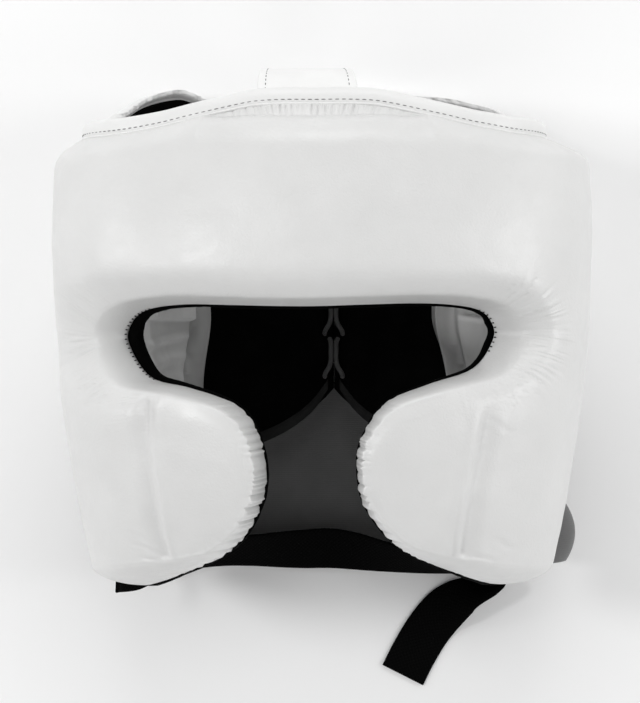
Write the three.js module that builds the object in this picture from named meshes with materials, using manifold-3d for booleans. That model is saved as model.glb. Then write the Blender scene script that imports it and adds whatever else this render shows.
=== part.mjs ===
// Boxing head guard of white leather, lying on its back with the face opening up.
// Millimetres. X is the viewer's right, Y runs from chin to crown, Z is up from the floor.

import * as THREE from "three";
import Module from "manifold-3d";
import { mergeVertices } from "three/addons/utils/BufferGeometryUtils.js";

const wasm = await Module();
wasm.setup();

// Driving dimensions
const GAP = 0.3; // between pieces that are sewn together
const WALL_GAP = 1.2; // between a curved wall and what lies on it
const FLOOR_GAP = 0.1; // under the chin strap where it lies on the floor
const WIDEST_Z = 140; // height of the widest line of the guard over the floor
const FRONT_SQUARENESS = 2.5; // exponent of the front half of a section, where 2 is an ellipse
const BACK_SQUARENESS = 3.2; // exponent of the back half
const BACK_DEPTH = 134; // from the widest line to the back wall before it is pressed flat
const BACK_FLAT_Z = 9; // height of the back wall where the floor presses it flat
const MIDDLE_SHIFT = 19; // moves the whole guard along Y, so that the origin is under its middle

const LINING = 5; // padding of the black lining inside the face pad
const PAD_EDGE = 3.5; // thickness left where the face pad is sewn to its lining
const LINING_LIP = 1.6; // how far the lining stands out of the pad round the opening
const REAR_ANGLE = THREE.MathUtils.degToRad(122); // where the face pad ends, from the front
const RIM_SIDE_Y = 102.5; // top edge of the face pad at the sides
const RIM_ARCH = 11; // how much higher it is at the middle of the brow
const REAR_FOOT_Y = -108; // bottom edge of the face pad at its rear
const ROLL = { bottom: 13, top: 17, rear: 18 }; // width of the face pad's rounded edges

const BINDING = { height: 7.2, overhang: 1.2, crown: 0.55 };
const CROWN_STRAP = { width: 44, rearWidth: 30, thickness: 2.6 };
const BACK_PADDING = 9; // of the two halves of the back
const BACK_LINING = 3.2;
const LACE_GAP = 3; // from the middle of the back to the edge of each half
const LACE = { diameter: 3, apart: 6.4, rung: 15, pitch: 19.9, first: -12.3, rungs: 7, end: 4 };
const NAPE_THICKNESS = 2.2;
const NAPE_BULGE = { offset: 38, from: 117, peak: 137, to: 172 }; // offset in mm, angles in degrees
const STRAP = { width: 24, thickness: 1.6 };
const EAR = { wall: 2.2, roll: 15, rollWidth: 24, y: 14, halfHeight: 56, fromAngle: 98, fromLace: 72 };
const CREASE = { depth: 3, width: 9 };

// Sections of the guard from chin to crown: half widths and front heights of the outside,
// and of the wall that the padding is sewn to.
const LEVELS = [
  { y: -116, outerHalf: 107, wallHalf: 83, outerFront: 213, wallFront: 186 },
  { y: -60, outerHalf: 118, wallHalf: 89, outerFront: 226, wallFront: 195 },
  { y: -10, outerHalf: 125, wallHalf: 96, outerFront: 230, wallFront: 199 },
  { y: 50, outerHalf: 128.5, wallHalf: 102, outerFront: 229, wallFront: 198 },
  { y: 90, outerHalf: 127.5, wallHalf: 108, outerFront: 224, wallFront: 194 },
  { y: 125, outerHalf: 126, wallHalf: 111, outerFront: 217, wallFront: 189 },
];

// Edge of the opening from the foot of a cheek up round it to the brow, on the viewer's left and
// right, with the width of the rounding there, and the height or the angle of the point on the
// pad's outer edge that lies across from it.
const OPENING = [
  { name: "foot", left: 92, right: 96, y: -105.5, roll: 13, rearY: REAR_FOOT_Y },
  { name: "sole", left: 66, right: 70, y: -102, roll: 13, rearY: -102 },
  { name: "chin", left: 40, right: 43, y: -90, roll: 13, rearY: -94 },
  { name: "lip", left: 26.5, right: 26.5, y: -74, roll: 13, rearY: -85 },
  { name: "mouth", left: 21.5, right: 20.3, y: -57, roll: 13, rearY: -76 },
  { name: "nose", left: 24.5, right: 21.8, y: -39.5, roll: 13, rearY: -66 },
  { name: "cheek", left: 35.5, right: 31, y: -24.8, roll: 14, rearY: -55 },
  { name: "slope", left: 56, right: 48, y: -16.2, roll: 16, rearY: -42 },
  { name: "floor", left: 73.5, right: 69, y: -10.8, roll: 19, rearY: -25 },
  { name: "end", left: 82.8, right: 81.6, y: 3, roll: 22, rearY: 12 },
  { name: "upper end", left: 81.2, right: 80, y: 12, roll: 21, rearY: 56 },
  { name: "corner", left: 75, right: 74, y: 18, roll: 19, rearY: RIM_SIDE_Y },
  { name: "temple", left: 60, right: 60, y: 20.3, roll: 17, rimAngle: 88 },
  { name: "eye", left: 40, right: 40, y: 20.4, roll: 16, rimAngle: 58 },
  { name: "inner eye", left: 20, right: 20, y: 20.2, roll: 16, rimAngle: 29 },
  { name: "brow", left: 0, right: 0, y: 20, roll: 16, rimAngle: 0 },
];
const CORNER = OPENING.findIndex((key) => key.name === "corner");

// Fold down each cheek.
const CREASES = [
  { side: -1, top: [72.5, -19], bottom: [64, -98] },
  { side: 1, top: [76, -18], bottom: [64.5, -96] },
];

// Edges of each half of the back, by the distance along the wall from the lace.
const FLAP_EDGES = [
  { fromLace: 0, low: -15, topLeft: 131, topRight: 130 },
  { fromLace: 20, low: -38, topLeft: 132, topRight: 130 },
  { fromLace: 38, low: -47, topLeft: 133, topRight: 129 },
  { fromLace: 62, low: -53, topLeft: 134, topRight: 128 },
  { fromLace: 88, low: -55, topLeft: 133, topRight: 125 },
  { fromLace: 115, low: -52, topLeft: 125, topRight: 119 },
  { fromLace: 150, low: -47, topLeft: 108, topRight: 106 },
];

// Lower edge of the nape panel, by the distance along the wall from the middle of the back.
const NAPE_EDGE = [
  { fromLace: 0, low: -91 },
  { fromLace: 45, low: -97 },
  { fromLace: 78, low: -104 },
  { fromLace: 150, low: -107 },
];

// Middle line of the crown strap, from inside the brow over the crown to the left half of the back.
const CROWN_ROUTE = [
  { x: -4.5, y: 96, z: 184.4 },
  { x: -4.5, y: 110, z: 182 },
  { x: -4.8, y: 121, z: 178.6 },
  { x: -6, y: 131, z: 166 },
  { x: -8, y: 136.5, z: 138 },
  { x: -10, y: 137, z: 108 },
  { x: -13, y: 134.5, z: 72 },
  { x: -17, y: 129, z: 38 },
  { x: -23, y: 119, z: 19 },
  { x: -26, y: 104, z: 14.6 },
  { x: -26, y: 90, z: 14.3 },
];

// Middle line of the chin strap from the left of the nape to its free end, with its lift off the
// floor and the lean of the band: 0 lies flat on its face, 90 stands on its edge.
const STRAP_ROUTE = [
  { x: -108, y: -111, lift: 60, lean: 0 },
  { x: -102, y: -111, lift: 40, lean: 0 },
  { x: -88, y: -110.5, lift: 22, lean: 8 },
  { x: -68, y: -109, lift: 8, lean: 25 },
  { x: -43, y: -106, lift: 0, lean: 40 },
  { x: -18, y: -104.2, lift: 0, lean: 30 },
  { x: 2, y: -104, lift: 0, lean: 27 },
  { x: 28, y: -108, lift: 0, lean: 47 },
  { x: 50, y: -112, lift: 0, lean: 66 },
  { x: 68, y: -114.5, lift: 0, lean: 80 },
  { x: 83, y: -116.5, lift: 0, lean: 89 },
  { x: 89, y: -120.2, lift: 0, lean: 90 },
  { x: 84.5, y: -124, lift: 0, lean: 82 },
  { x: 72, y: -127.5, lift: 0, lean: 48 },
  { x: 59.5, y: -135, lift: 0, lean: 14 },
  { x: 50, y: -146, lift: 0, lean: 0 },
  { x: 42, y: -159, lift: 0, lean: 0 },
  { x: 36, y: -171, lift: 0, lean: 0 },
];

const LEATHER = { color: 0xe9e9e8, roughness: 0.5, metalness: 0 };
const LINING_CLOTH = { color: 0x101010, roughness: 0.9, metalness: 0 };
const ELASTIC = { color: 0x6b6b6b, roughness: 0.9, metalness: 0 };
const WEBBING = { color: 0x0d0d0d, roughness: 0.8, metalness: 0 };
const LACE_CORD = { color: 0x3a3a3a, roughness: 0.8, metalness: 0 };

const { clamp, lerp, smoothstep, degToRad } = THREE.MathUtils;

// A smooth curve through one or more columns of a table, by its first column.
function columnCurve(rows, by, columns) {
  const values = rows.flatMap((row) => columns.map((column) => row[column]));
  const curve = new THREE.CubicInterpolant(rows.map((row) => row[by]), values, columns.length);
  return (at) => [...curve.evaluate(at)];
}

const levelAt = columnCurve(LEVELS, "y", ["outerHalf", "wallHalf", "outerFront", "wallFront"]);
const flapEdgesAt = columnCurve(FLAP_EDGES, "fromLace", ["low", "topLeft", "topRight"]);
const napeEdgeAt = columnCurve(NAPE_EDGE, "fromLace", ["low"]);

// A point of the wall's section at one height, by its angle from the front.
function sectionPoint(angle, y) {
  const [, wallHalf, , wallFront] = levelAt(y);
  const across = Math.sin(angle);
  const along = Math.cos(angle);
  const power = along >= 0 ? FRONT_SQUARENESS : BACK_SQUARENESS;
  const depth = along >= 0 ? wallFront - WIDEST_Z : BACK_DEPTH;
  const sum = Math.abs(across / wallHalf) ** power + Math.abs(along / depth) ** power;
  const radius = sum ** (-1 / power);
  return new THREE.Vector2(radius * across, Math.max(WIDEST_Z + radius * along, BACK_FLAT_Z));
}

// A point at some distance outside the wall, square to its section.
function wallPoint(angle, y, offset) {
  const step = 0.01;
  const point = sectionPoint(angle, y);
  const tangent = sectionPoint(angle + step, y).sub(sectionPoint(angle - step, y)).normalize();
  const x = point.x - tangent.y * offset;
  const z = point.y + tangent.x * offset;
  return new THREE.Vector3(x, y, Math.max(z, 0));
}

// Length along the wall at mid height, which serves as the flat pattern of the leather.
const PATTERN_STEPS = 360;
const patternLength = [0];
for (let i = 1; i <= PATTERN_STEPS; i++) {
  const before = sectionPoint((Math.PI * (i - 1)) / PATTERN_STEPS, 0);
  const here = sectionPoint((Math.PI * i) / PATTERN_STEPS, 0);
  patternLength.push(patternLength[i - 1] + here.distanceTo(before));
}
const BACK_LENGTH = patternLength[PATTERN_STEPS];

function lengthAt(angle) {
  const at = (clamp(Math.abs(angle), 0, Math.PI) / Math.PI) * PATTERN_STEPS;
  const i = Math.min(Math.floor(at), PATTERN_STEPS - 1);
  return Math.sign(angle) * lerp(patternLength[i], patternLength[i + 1], at - i);
}

function angleAt(length) {
  const found = patternLength.findIndex((l) => l >= Math.abs(length));
  const i = clamp(found < 0 ? PATTERN_STEPS : found, 1, PATTERN_STEPS);
  const part = (Math.abs(length) - patternLength[i - 1]) / (patternLength[i] - patternLength[i - 1]);
  return (Math.sign(length) * Math.PI * (i - 1 + part)) / PATTERN_STEPS;
}

const REAR_LENGTH = lengthAt(REAR_ANGLE);

// The flat pattern's place of a point that is seen at (x, y) from the front.
function patternPlace(x, y) {
  let low = 0;
  let high = Math.PI / 2;
  for (let i = 0; i < 40; i++) {
    const middle = (low + high) / 2;
    if (wallPoint(middle, y, PAD_EDGE).x < Math.abs(x)) low = middle;
    else high = middle;
  }
  return new THREE.Vector2(Math.sign(x) * lengthAt(low), y);
}

const rimAt = (angle) => RIM_SIDE_Y + RIM_ARCH * Math.max(Math.cos(angle), 0) ** 1.6;

// The opening's edge on the flat pattern, from the left foot to the right one, with an inset lip.
function openingCurve(lip) {
  const keys = [
    ...OPENING.map((key) => [-key.left, key.y]),
    ...OPENING.slice(0, -1).reverse().map((key) => [key.right, key.y]),
  ];
  const seen = new THREE.SplineCurve(keys.map(([x, y]) => new THREE.Vector2(x, y)));
  return (at) => {
    const point = seen.getPoint(at);
    const along = seen.getTangent(at);
    return patternPlace(point.x + along.y * lip, point.y - along.x * lip);
  };
}

// The pad's outer edge on the flat pattern, across from the opening's edge.
function outerEdge(at) {
  const last = OPENING.length - 1;
  const key = at * 2 * last;
  const side = key <= last ? -1 : 1;
  const up = key <= last ? key : 2 * last - key;
  const i = Math.min(Math.floor(up), last - 1);
  const [from, to] = [OPENING[i], OPENING[i + 1]];
  if (i < CORNER) return new THREE.Vector2(side * REAR_LENGTH, lerp(from.rearY, to.rearY, up - i));
  const fromAngle = degToRad(from.rimAngle ?? 122);
  const angle = lerp(fromAngle, degToRad(to.rimAngle), up - i);
  return new THREE.Vector2(side * lengthAt(angle), rimAt(angle));
}

// Distance from a point of the flat pattern to a line through points, in units of the line's own
// width at each of them.
function distanceTo(line, place, widthAt = () => 1) {
  const nearest = new THREE.Vector3();
  const here = new THREE.Vector3(place.x, place.y, 0);
  const segment = new THREE.Line3();
  let least = Infinity;
  for (let i = 1; i < line.length; i++) {
    segment.start.set(line[i - 1].x, line[i - 1].y, 0);
    segment.end.set(line[i].x, line[i].y, 0);
    segment.closestPointToPoint(here, true, nearest);
    least = Math.min(least, nearest.distanceTo(here) / widthAt((i - 0.5) / (line.length - 1)));
  }
  return least;
}

const padOpening = openingCurve(0);
const liningOpening = openingCurve(LINING_LIP);
const OPENING_LINE = Array.from({ length: 181 }, (_, i) => padOpening(i / 180));
const rollCurve = columnCurve(OPENING.map((key, i) => ({ i, ...key })), "i", ["roll"]);
const rollAt = (at) => rollCurve(2 * Math.min(at, 1 - at) * (OPENING.length - 1))[0];
const CREASE_LINES = CREASES.map(({ side, top, bottom }) => [
  patternPlace(side * top[0], top[1]),
  patternPlace(side * bottom[0], bottom[1]),
]);

// A quarter round, from 0 at an edge to 1 where the padding is full.
const quarterRound = (part) => Math.sqrt(1 - (1 - clamp(part, 0, 1)) ** 2);

// How thick the face pad is at a place of the flat pattern.
function padThickness(place) {
  const angle = angleAt(place.x);
  const [outerHalf, wallHalf, outerFront, wallFront] = levelAt(place.y);
  const facing = Math.max(Math.cos(angle), 0) ** 2;
  const full = lerp(outerHalf - wallHalf, outerFront - wallFront, facing);
  const foot = place.x < 0 ? OPENING_LINE[0] : OPENING_LINE.at(-1);
  const back = (Math.abs(place.x) - Math.abs(foot.x)) / (REAR_LENGTH - Math.abs(foot.x));
  const bottom = back > 0 ? (place.y - lerp(foot.y, REAR_FOOT_Y, back)) / ROLL.bottom : Infinity;
  const round =
    quarterRound(Math.min(distanceTo(OPENING_LINE, place, rollAt), bottom)) *
    quarterRound((rimAt(angle) - place.y) / ROLL.top) *
    quarterRound((REAR_LENGTH - Math.abs(place.x)) / ROLL.rear);
  const fold = Math.min(...CREASE_LINES.map((line) => distanceTo(line, place)));
  const crease = CREASE.depth * Math.exp(-((fold / CREASE.width) ** 2));
  return PAD_EDGE + (full - PAD_EDGE - crease) * round;
}

// A closed solid between two grids of points, which share their edges by a strip all round.
function shell(columns, rows, outer, inner) {
  const points = [];
  for (const side of [outer, inner]) {
    for (const column of columns) {
      for (const row of rows) points.push(side(column, row));
    }
  }
  const sheet = columns.length * rows.length;
  const at = (i, j, layer) => layer * sheet + i * rows.length + j;
  const faces = [];
  const quad = (a, b, c, d) => {
    const firstIsShorter = points[a].distanceTo(points[c]) <= points[b].distanceTo(points[d]);
    if (firstIsShorter) faces.push([a, b, c], [a, c, d]);
    else faces.push([a, b, d], [b, c, d]);
  };
  const lastColumn = columns.length - 1;
  const lastRow = rows.length - 1;
  for (let i = 0; i < lastColumn; i++) {
    for (let j = 0; j < lastRow; j++) {
      quad(at(i, j, 0), at(i + 1, j, 0), at(i + 1, j + 1, 0), at(i, j + 1, 0));
      quad(at(i, j, 1), at(i, j + 1, 1), at(i + 1, j + 1, 1), at(i + 1, j, 1));
    }
    quad(at(i, 0, 0), at(i, 0, 1), at(i + 1, 0, 1), at(i + 1, 0, 0));
    quad(at(i, lastRow, 0), at(i + 1, lastRow, 0), at(i + 1, lastRow, 1), at(i, lastRow, 1));
  }
  for (let j = 0; j < lastRow; j++) {
    quad(at(0, j, 0), at(0, j + 1, 0), at(0, j + 1, 1), at(0, j, 1));
    quad(at(lastColumn, j, 0), at(lastColumn, j, 1), at(lastColumn, j + 1, 1), at(lastColumn, j + 1, 0));
  }
  let volume = 0;
  const cross = new THREE.Vector3();
  for (const [a, b, c] of faces) volume += points[a].dot(cross.crossVectors(points[b], points[c]));
  if (volume < 0) faces.forEach((face) => face.reverse());
  return new THREE.BufferGeometry()
    .setFromPoints(points)
    .setIndex(faces.flat());
}

const steps = (count, from = 0, to = 1) =>
  Array.from({ length: count + 1 }, (_, i) => lerp(from, to, i / count));

function solidOf(geometry) {
  const bare = geometry.clone();
  bare.deleteAttribute("normal");
  bare.deleteAttribute("uv");
  const merged = mergeVertices(bare, 1e-3);
  return new wasm.Manifold(
    new wasm.Mesh({
      numProp: 3,
      vertProperties: merged.attributes.position.array,
      triVerts: new Uint32Array(merged.index.array),
    }),
  );
}

function geometryOf(solid) {
  const { vertProperties, triVerts } = solid.getMesh();
  return new THREE.BufferGeometry()
    .setAttribute("position", new THREE.BufferAttribute(new Float32Array(vertProperties), 3))
    .setIndex(new THREE.BufferAttribute(new Uint32Array(triVerts), 1));
}

const guard = new THREE.Group();
guard.position.y = MIDDLE_SHIFT;

function addPiece(name, geometry, finish) {
  const mesh = new THREE.Mesh(geometry, new THREE.MeshStandardMaterial(finish));
  mesh.name = name;
  guard.add(mesh);
}

// Rows of the face pad from the opening to the outer edge, closer where the edges are rounded.
const PAD_ROWS = [
  ...[0, 0.008, 0.024, 0.05, 0.09, 0.14, 0.2, 0.27, 0.35],
  ...[0.44, 0.54, 0.65, 0.77, 0.88, 0.95, 0.985, 1],
];

// Columns of the face pad along the opening, closer at the feet of the cheeks and at the slot's ends.
function padColumns() {
  const last = OPENING.length - 1;
  const columns = [];
  OPENING.slice(0, -1).forEach((key, i) => {
    let parts = [0, 0.5];
    if (key.name === "foot") parts = [0, 0.14, 0.36, 0.66];
    if (["end", "upper end", "corner"].includes(key.name)) parts = [0, 0.33, 0.67];
    for (const part of parts) columns.push((i + part) / (2 * last));
  });
  return [...columns, 0.5, ...columns.map((at) => 1 - at).reverse()];
}

function facePad() {
  const place = (at, row) => padOpening(at).lerp(outerEdge(at), row);
  const outer = (at, row) => {
    const here = place(at, row);
    return wallPoint(angleAt(here.x), here.y, padThickness(here));
  };
  const inner = (at, row) => {
    const here = place(at, row);
    return wallPoint(angleAt(here.x), here.y, 0);
  };
  return shell(padColumns(), PAD_ROWS, outer, inner);
}

function faceLining() {
  const surface = (offset) => (at, row) => {
    const here = liningOpening(at).lerp(outerEdge(at), row);
    return wallPoint(angleAt(here.x), here.y, offset);
  };
  const columns = padColumns().filter((_, i) => i % 2 === 0);
  return shell(columns, [0, 0.08, 0.2, 0.35, 0.5, 0.67, 0.83, 1], surface(-WALL_GAP), surface(-LINING));
}

// The binding folds over the top edges of the face pad and its lining.
function browBinding() {
  const rows = [0, 0.5, 0.86, 1];
  const surface = (inside) => (angle, row) => {
    const crown = row === 1 ? BINDING.crown : 1;
    const face = inside ? -LINING - BINDING.overhang : PAD_EDGE + BINDING.overhang;
    const middle = (PAD_EDGE - LINING) / 2;
    const y = rimAt(angle) + 2 * GAP + BINDING.height * row;
    return wallPoint(angle, y, lerp(middle, face, crown));
  };
  return shell(steps(36, -REAR_ANGLE, REAR_ANGLE), rows, surface(false), surface(true));
}

// A flat band along a curve. Its width direction and half width come from a function.
function band(curve, count, thickness, acrossAt) {
  const surface = (side) => (at, row) => {
    const across = acrossAt(at);
    const face = across.clone().cross(curve.getTangent(at)).setLength((side * thickness) / 2);
    return curve.getPoint(at).addScaledVector(across, row).add(face);
  };
  return shell(steps(count), [-1, 1], surface(1), surface(-1));
}

const curveThrough = (route) =>
  new THREE.CatmullRomCurve3(route.map(({ x, y, z }) => new THREE.Vector3(x, y, z)), false, "centripetal");

function crownStrap() {
  const half = (at) => lerp(CROWN_STRAP.width, CROWN_STRAP.rearWidth, smoothstep(at, 0.5, 0.85)) / 2;
  const acrossAt = (at) => new THREE.Vector3(half(at), 0, 0);
  return band(curveThrough(CROWN_ROUTE), 32, CROWN_STRAP.thickness, acrossAt);
}

// The strap's middle line is as high as its lean needs to rest one edge on the floor.
class StrapCurve extends THREE.Curve {
  constructor(route) {
    super();
    const keys = route.map((row, key) => ({ key, ...row }));
    this.last = route.length - 1;
    this.columnsAt = columnCurve(keys, "key", ["x", "y", "lift", "lean"]);
  }

  leanAt(at) {
    return degToRad(Math.max(this.columnsAt(at * this.last)[3], 0));
  }

  getPoint(at) {
    const [x, y, lift] = this.columnsAt(at * this.last);
    const lean = this.leanAt(at);
    const rest = (STRAP.width * Math.sin(lean) + STRAP.thickness * Math.cos(lean)) / 2;
    return new THREE.Vector3(x, y, rest + Math.max(lift, 0) + FLOOR_GAP);
  }
}

function chinStrap() {
  const curve = new StrapCurve(STRAP_ROUTE);
  const acrossAt = (at) => {
    const along = curve.getTangent(at);
    const lean = curve.leanAt(at);
    const level = new THREE.Vector3(-along.y, along.x, 0).normalize();
    const raised = along.clone().cross(level).normalize();
    const across = level.multiplyScalar(Math.cos(lean)).addScaledVector(raised, Math.sin(lean));
    return across.setLength(STRAP.width / 2);
  };
  return band(curve, 72, STRAP.thickness, acrossAt);
}

// One half of the back, between the face pad's rear edge and the lace.
function backHalf(side, outside, inside, grid) {
  const lengths = steps(grid.across, REAR_LENGTH + GAP, BACK_LENGTH - LACE_GAP);
  const surface = (offsetAt) => (length, row) => {
    const [low, topLeft, topRight] = flapEdgesAt(BACK_LENGTH - length);
    const y = lerp(low, side < 0 ? topLeft : topRight, row);
    return wallPoint(side * angleAt(length), y, offsetAt(length, row));
  };
  return shell(lengths, grid.rows, surface(outside), surface(inside));
}

function backFlap(side) {
  const rows = [0, 0.015, 0.06, 0.25, 0.5, 0.75, 0.94, 0.985, 1];
  const padding = (length, row) => {
    const [low, topLeft, topRight] = flapEdgesAt(BACK_LENGTH - length);
    const height = (side < 0 ? topLeft : topRight) - low;
    const edge = Math.min(row, 1 - row) * height;
    return lerp(0.35, 1, quarterRound(edge / BACK_PADDING)) * BACK_PADDING;
  };
  return backHalf(side, padding, () => 0, { across: 14, rows });
}

function backLining(side) {
  const grid = { across: 14, rows: steps(4) };
  return backHalf(side, () => -GAP, () => -BACK_LINING, grid);
}

// The nape panel closes the back under the two halves and bulges out at the sides.
function napePanel() {
  const end = REAR_LENGTH + 2 * GAP;
  const bulge = (angle) => {
    const degrees = THREE.MathUtils.radToDeg(angle);
    const rise = smoothstep(degrees, NAPE_BULGE.from, NAPE_BULGE.peak);
    return rise * (1 - smoothstep(degrees, NAPE_BULGE.peak, NAPE_BULGE.to));
  };
  const surface = (layer) => (place, row) => {
    const length = Math.min(Math.abs(place), BACK_LENGTH - 0.01);
    const fromLace = BACK_LENGTH - length;
    const [top] = flapEdgesAt(fromLace);
    const [low] = napeEdgeAt(fromLace);
    const y = lerp(low, top - 2 * GAP, row);
    const angle = angleAt(length);
    const fullness = Math.sin(Math.PI * clamp(lerp(0.34, 1, row), 0, 1)) ** 0.8;
    const offset = BACK_FLAT_Z - NAPE_THICKNESS / 2 + NAPE_BULGE.offset * bulge(angle) * fullness;
    return wallPoint(Math.sign(place) * angle, y, offset + (layer * NAPE_THICKNESS) / 2);
  };
  const right = steps(18, end, BACK_LENGTH).slice(0, -1);
  const places = [...right, BACK_LENGTH, ...right.map((length) => -length).reverse()];
  return shell(places, steps(5), surface(1), surface(-1));
}

// A leather panel inside, by the ear, whose rear edge is a thick roll.
function earPocket(side) {
  const from = lengthAt(degToRad(EAR.fromAngle));
  const to = BACK_LENGTH - EAR.fromLace;
  const outside = -LINING - WALL_GAP;
  const place = (part, row) => {
    const bow = (row * 2 - 1) ** 2;
    const length = lerp(from, to - 14 * bow, part);
    const tall = EAR.halfHeight * lerp(0.62, 1, Math.sqrt(1 - (2 * part - 1) ** 2));
    return new THREE.Vector2(length, EAR.y + tall * (2 * row - 1));
  };
  const surface = (inner) => (part, row) => {
    const { x, y } = place(part, row);
    const roll = clamp(1 - ((1 - part) * (to - from)) / EAR.rollWidth, 0, 1);
    const wall = EAR.wall + EAR.roll * Math.sin(Math.PI * roll) ** 0.8;
    return wallPoint(side * angleAt(x), y, inner ? outside - wall : outside);
  };
  const columns = [...steps(4, 0, 0.74), 0.79, 0.84, 0.89, 0.94, 0.98, 1];
  return shell(columns, steps(6), surface(false), surface(true));
}

// Two strands down the back with a rung across each pair of eyelets.
function backLace() {
  const inside = BACK_FLAT_Z + BACK_LINING + GAP;
  const radius = LACE.diameter / 2;
  const section = new THREE.Shape().absarc(0, 0, radius, 0, 2 * Math.PI);
  const tube = (points, count) => {
    const extrudePath = new THREE.CatmullRomCurve3(points.map((p) => new THREE.Vector3(...p)));
    return solidOf(new THREE.ExtrudeGeometry(section, { steps: count, extrudePath, curveSegments: 4 }));
  };
  const last = LACE.first + (LACE.rungs - 1) * LACE.pitch;
  const strands = [-1, 1].map((side) => {
    const x = (side * LACE.apart) / 2;
    const ends = [LACE.first - LACE.end, last + LACE.end];
    return tube([ends[0], (ends[0] + ends[1]) / 2, ends[1]].map((y) => [x, y, inside + radius]), 4);
  });
  const rungs = Array.from({ length: LACE.rungs }, (_, i) => {
    const y = LACE.first + i * LACE.pitch;
    const half = LACE.rung / 2;
    const low = inside + radius;
    const high = inside + 1.25 * LACE.diameter;
    return tube([[-half, y, low], [-half / 2, y, high], [half / 2, y, high], [half, y, low]], 5);
  });
  return geometryOf([...strands, ...rungs].reduce((whole, one) => whole.add(one)));
}

addPiece("face_pad", facePad(), LEATHER);
addPiece("face_lining", faceLining(), LINING_CLOTH);
addPiece("brow_binding", browBinding(), LEATHER);
addPiece("crown_strap", crownStrap(), LEATHER);
for (const [side, name] of [[-1, "left"], [1, "right"]]) {
  addPiece(`ear_pocket_${name}`, earPocket(side), LEATHER);
  addPiece(`back_flap_${name}`, backFlap(side), LEATHER);
  addPiece(`back_lining_${name}`, backLining(side), LINING_CLOTH);
}
addPiece("back_lace", backLace(), LACE_CORD);
addPiece("nape_panel", napePanel(), ELASTIC);
addPiece("chin_strap", chinStrap(), WEBBING);

export default guard;
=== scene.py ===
"""Boxing head guard of white leather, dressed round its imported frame.

The guard lies on its back with the face opening up. The classes hold sizes in millimetres, in the
frame's axes: X to the viewer's right, Y from chin to crown, Z up from the floor. Meshes are metres.
"""

from __future__ import annotations

import logging
import math
from dataclasses import dataclass
from enum import Enum
from typing import NamedTuple, Sequence, TypeVar

import bpy
import numpy as np
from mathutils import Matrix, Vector, noise

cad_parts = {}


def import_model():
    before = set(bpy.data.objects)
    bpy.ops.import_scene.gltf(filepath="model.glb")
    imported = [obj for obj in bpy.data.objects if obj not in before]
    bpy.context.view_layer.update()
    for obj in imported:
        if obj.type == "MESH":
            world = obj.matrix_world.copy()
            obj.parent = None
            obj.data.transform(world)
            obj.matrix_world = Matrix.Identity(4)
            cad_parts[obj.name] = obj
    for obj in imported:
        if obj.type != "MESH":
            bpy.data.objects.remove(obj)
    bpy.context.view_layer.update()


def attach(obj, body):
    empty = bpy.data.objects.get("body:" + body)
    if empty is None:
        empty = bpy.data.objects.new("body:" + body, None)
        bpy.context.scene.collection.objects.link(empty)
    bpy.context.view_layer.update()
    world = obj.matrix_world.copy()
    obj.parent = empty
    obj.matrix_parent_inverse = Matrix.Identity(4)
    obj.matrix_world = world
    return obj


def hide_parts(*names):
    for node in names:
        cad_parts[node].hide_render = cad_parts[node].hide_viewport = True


Array = np.ndarray
Colour = tuple[float, float, float]
Value = TypeVar("Value")
MM = 0.001
MIDDLE_SHIFT = 19.0  # how far the guard's own zero lies from the frame's along Y
BODY = "root"
log = logging.getLogger("head_guard")


class Side(Enum):
    """The viewer's left or right half of the guard."""

    LEFT = -1
    RIGHT = 1

    @property
    def word(self) -> str:
        """The side's name as the nodes spell it."""
        return self.name.lower()

    def of(self, left: Value, right: Value) -> Value:
        """The one of two values that belongs to this side."""
        return left if self is Side.LEFT else right


# Curves and folds


class TableCurve:
    """A smooth curve through the columns of a short table, by its first column."""

    def __init__(self, rows: Sequence[Sequence[float]]) -> None:
        """Keep the table.

        Args:
            rows: The table's rows, each with the place first and then the values.
        """
        table = np.array(rows, float)
        self.places = table[:, 0]
        self.values = table[:, 1:]

    def __call__(self, where: Array | float) -> Array:
        """Read the columns at some places.

        Args:
            where: Places along the first column.

        Returns:
            The values, with the columns as the last axis.
        """
        last = len(self.places) - 1
        where = np.clip(np.asarray(where, float), self.places[0], self.places[-1])
        i = np.clip(np.searchsorted(self.places, where, "right") - 1, 0, last - 1)
        before = np.where(i > 0, i - 1, i + 1)
        after = np.where(i < last - 1, i + 2, i)
        start, end = self.places[i], self.places[i + 1]
        width = end - start
        pull_before = 0.5 * width / (start - self.places[before])
        pull_after = 0.5 * width / (self.places[after] - end)
        p = (where - start) / width
        p2, p3 = p * p, p * p * p
        weights = (
            (before, -pull_before * p3 + 2 * pull_before * p2 - pull_before * p),
            (i, (1 + pull_before) * p3 + (-1.5 - 2 * pull_before) * p2 + (pull_before - 0.5) * p + 1),
            (i + 1, (-1 - pull_after) * p3 + (1.5 + pull_after) * p2 + 0.5 * p),
            (after, pull_after * p3 - pull_after * p2),
        )
        return sum(weight[..., None] * self.values[index] for index, weight in weights)


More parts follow.
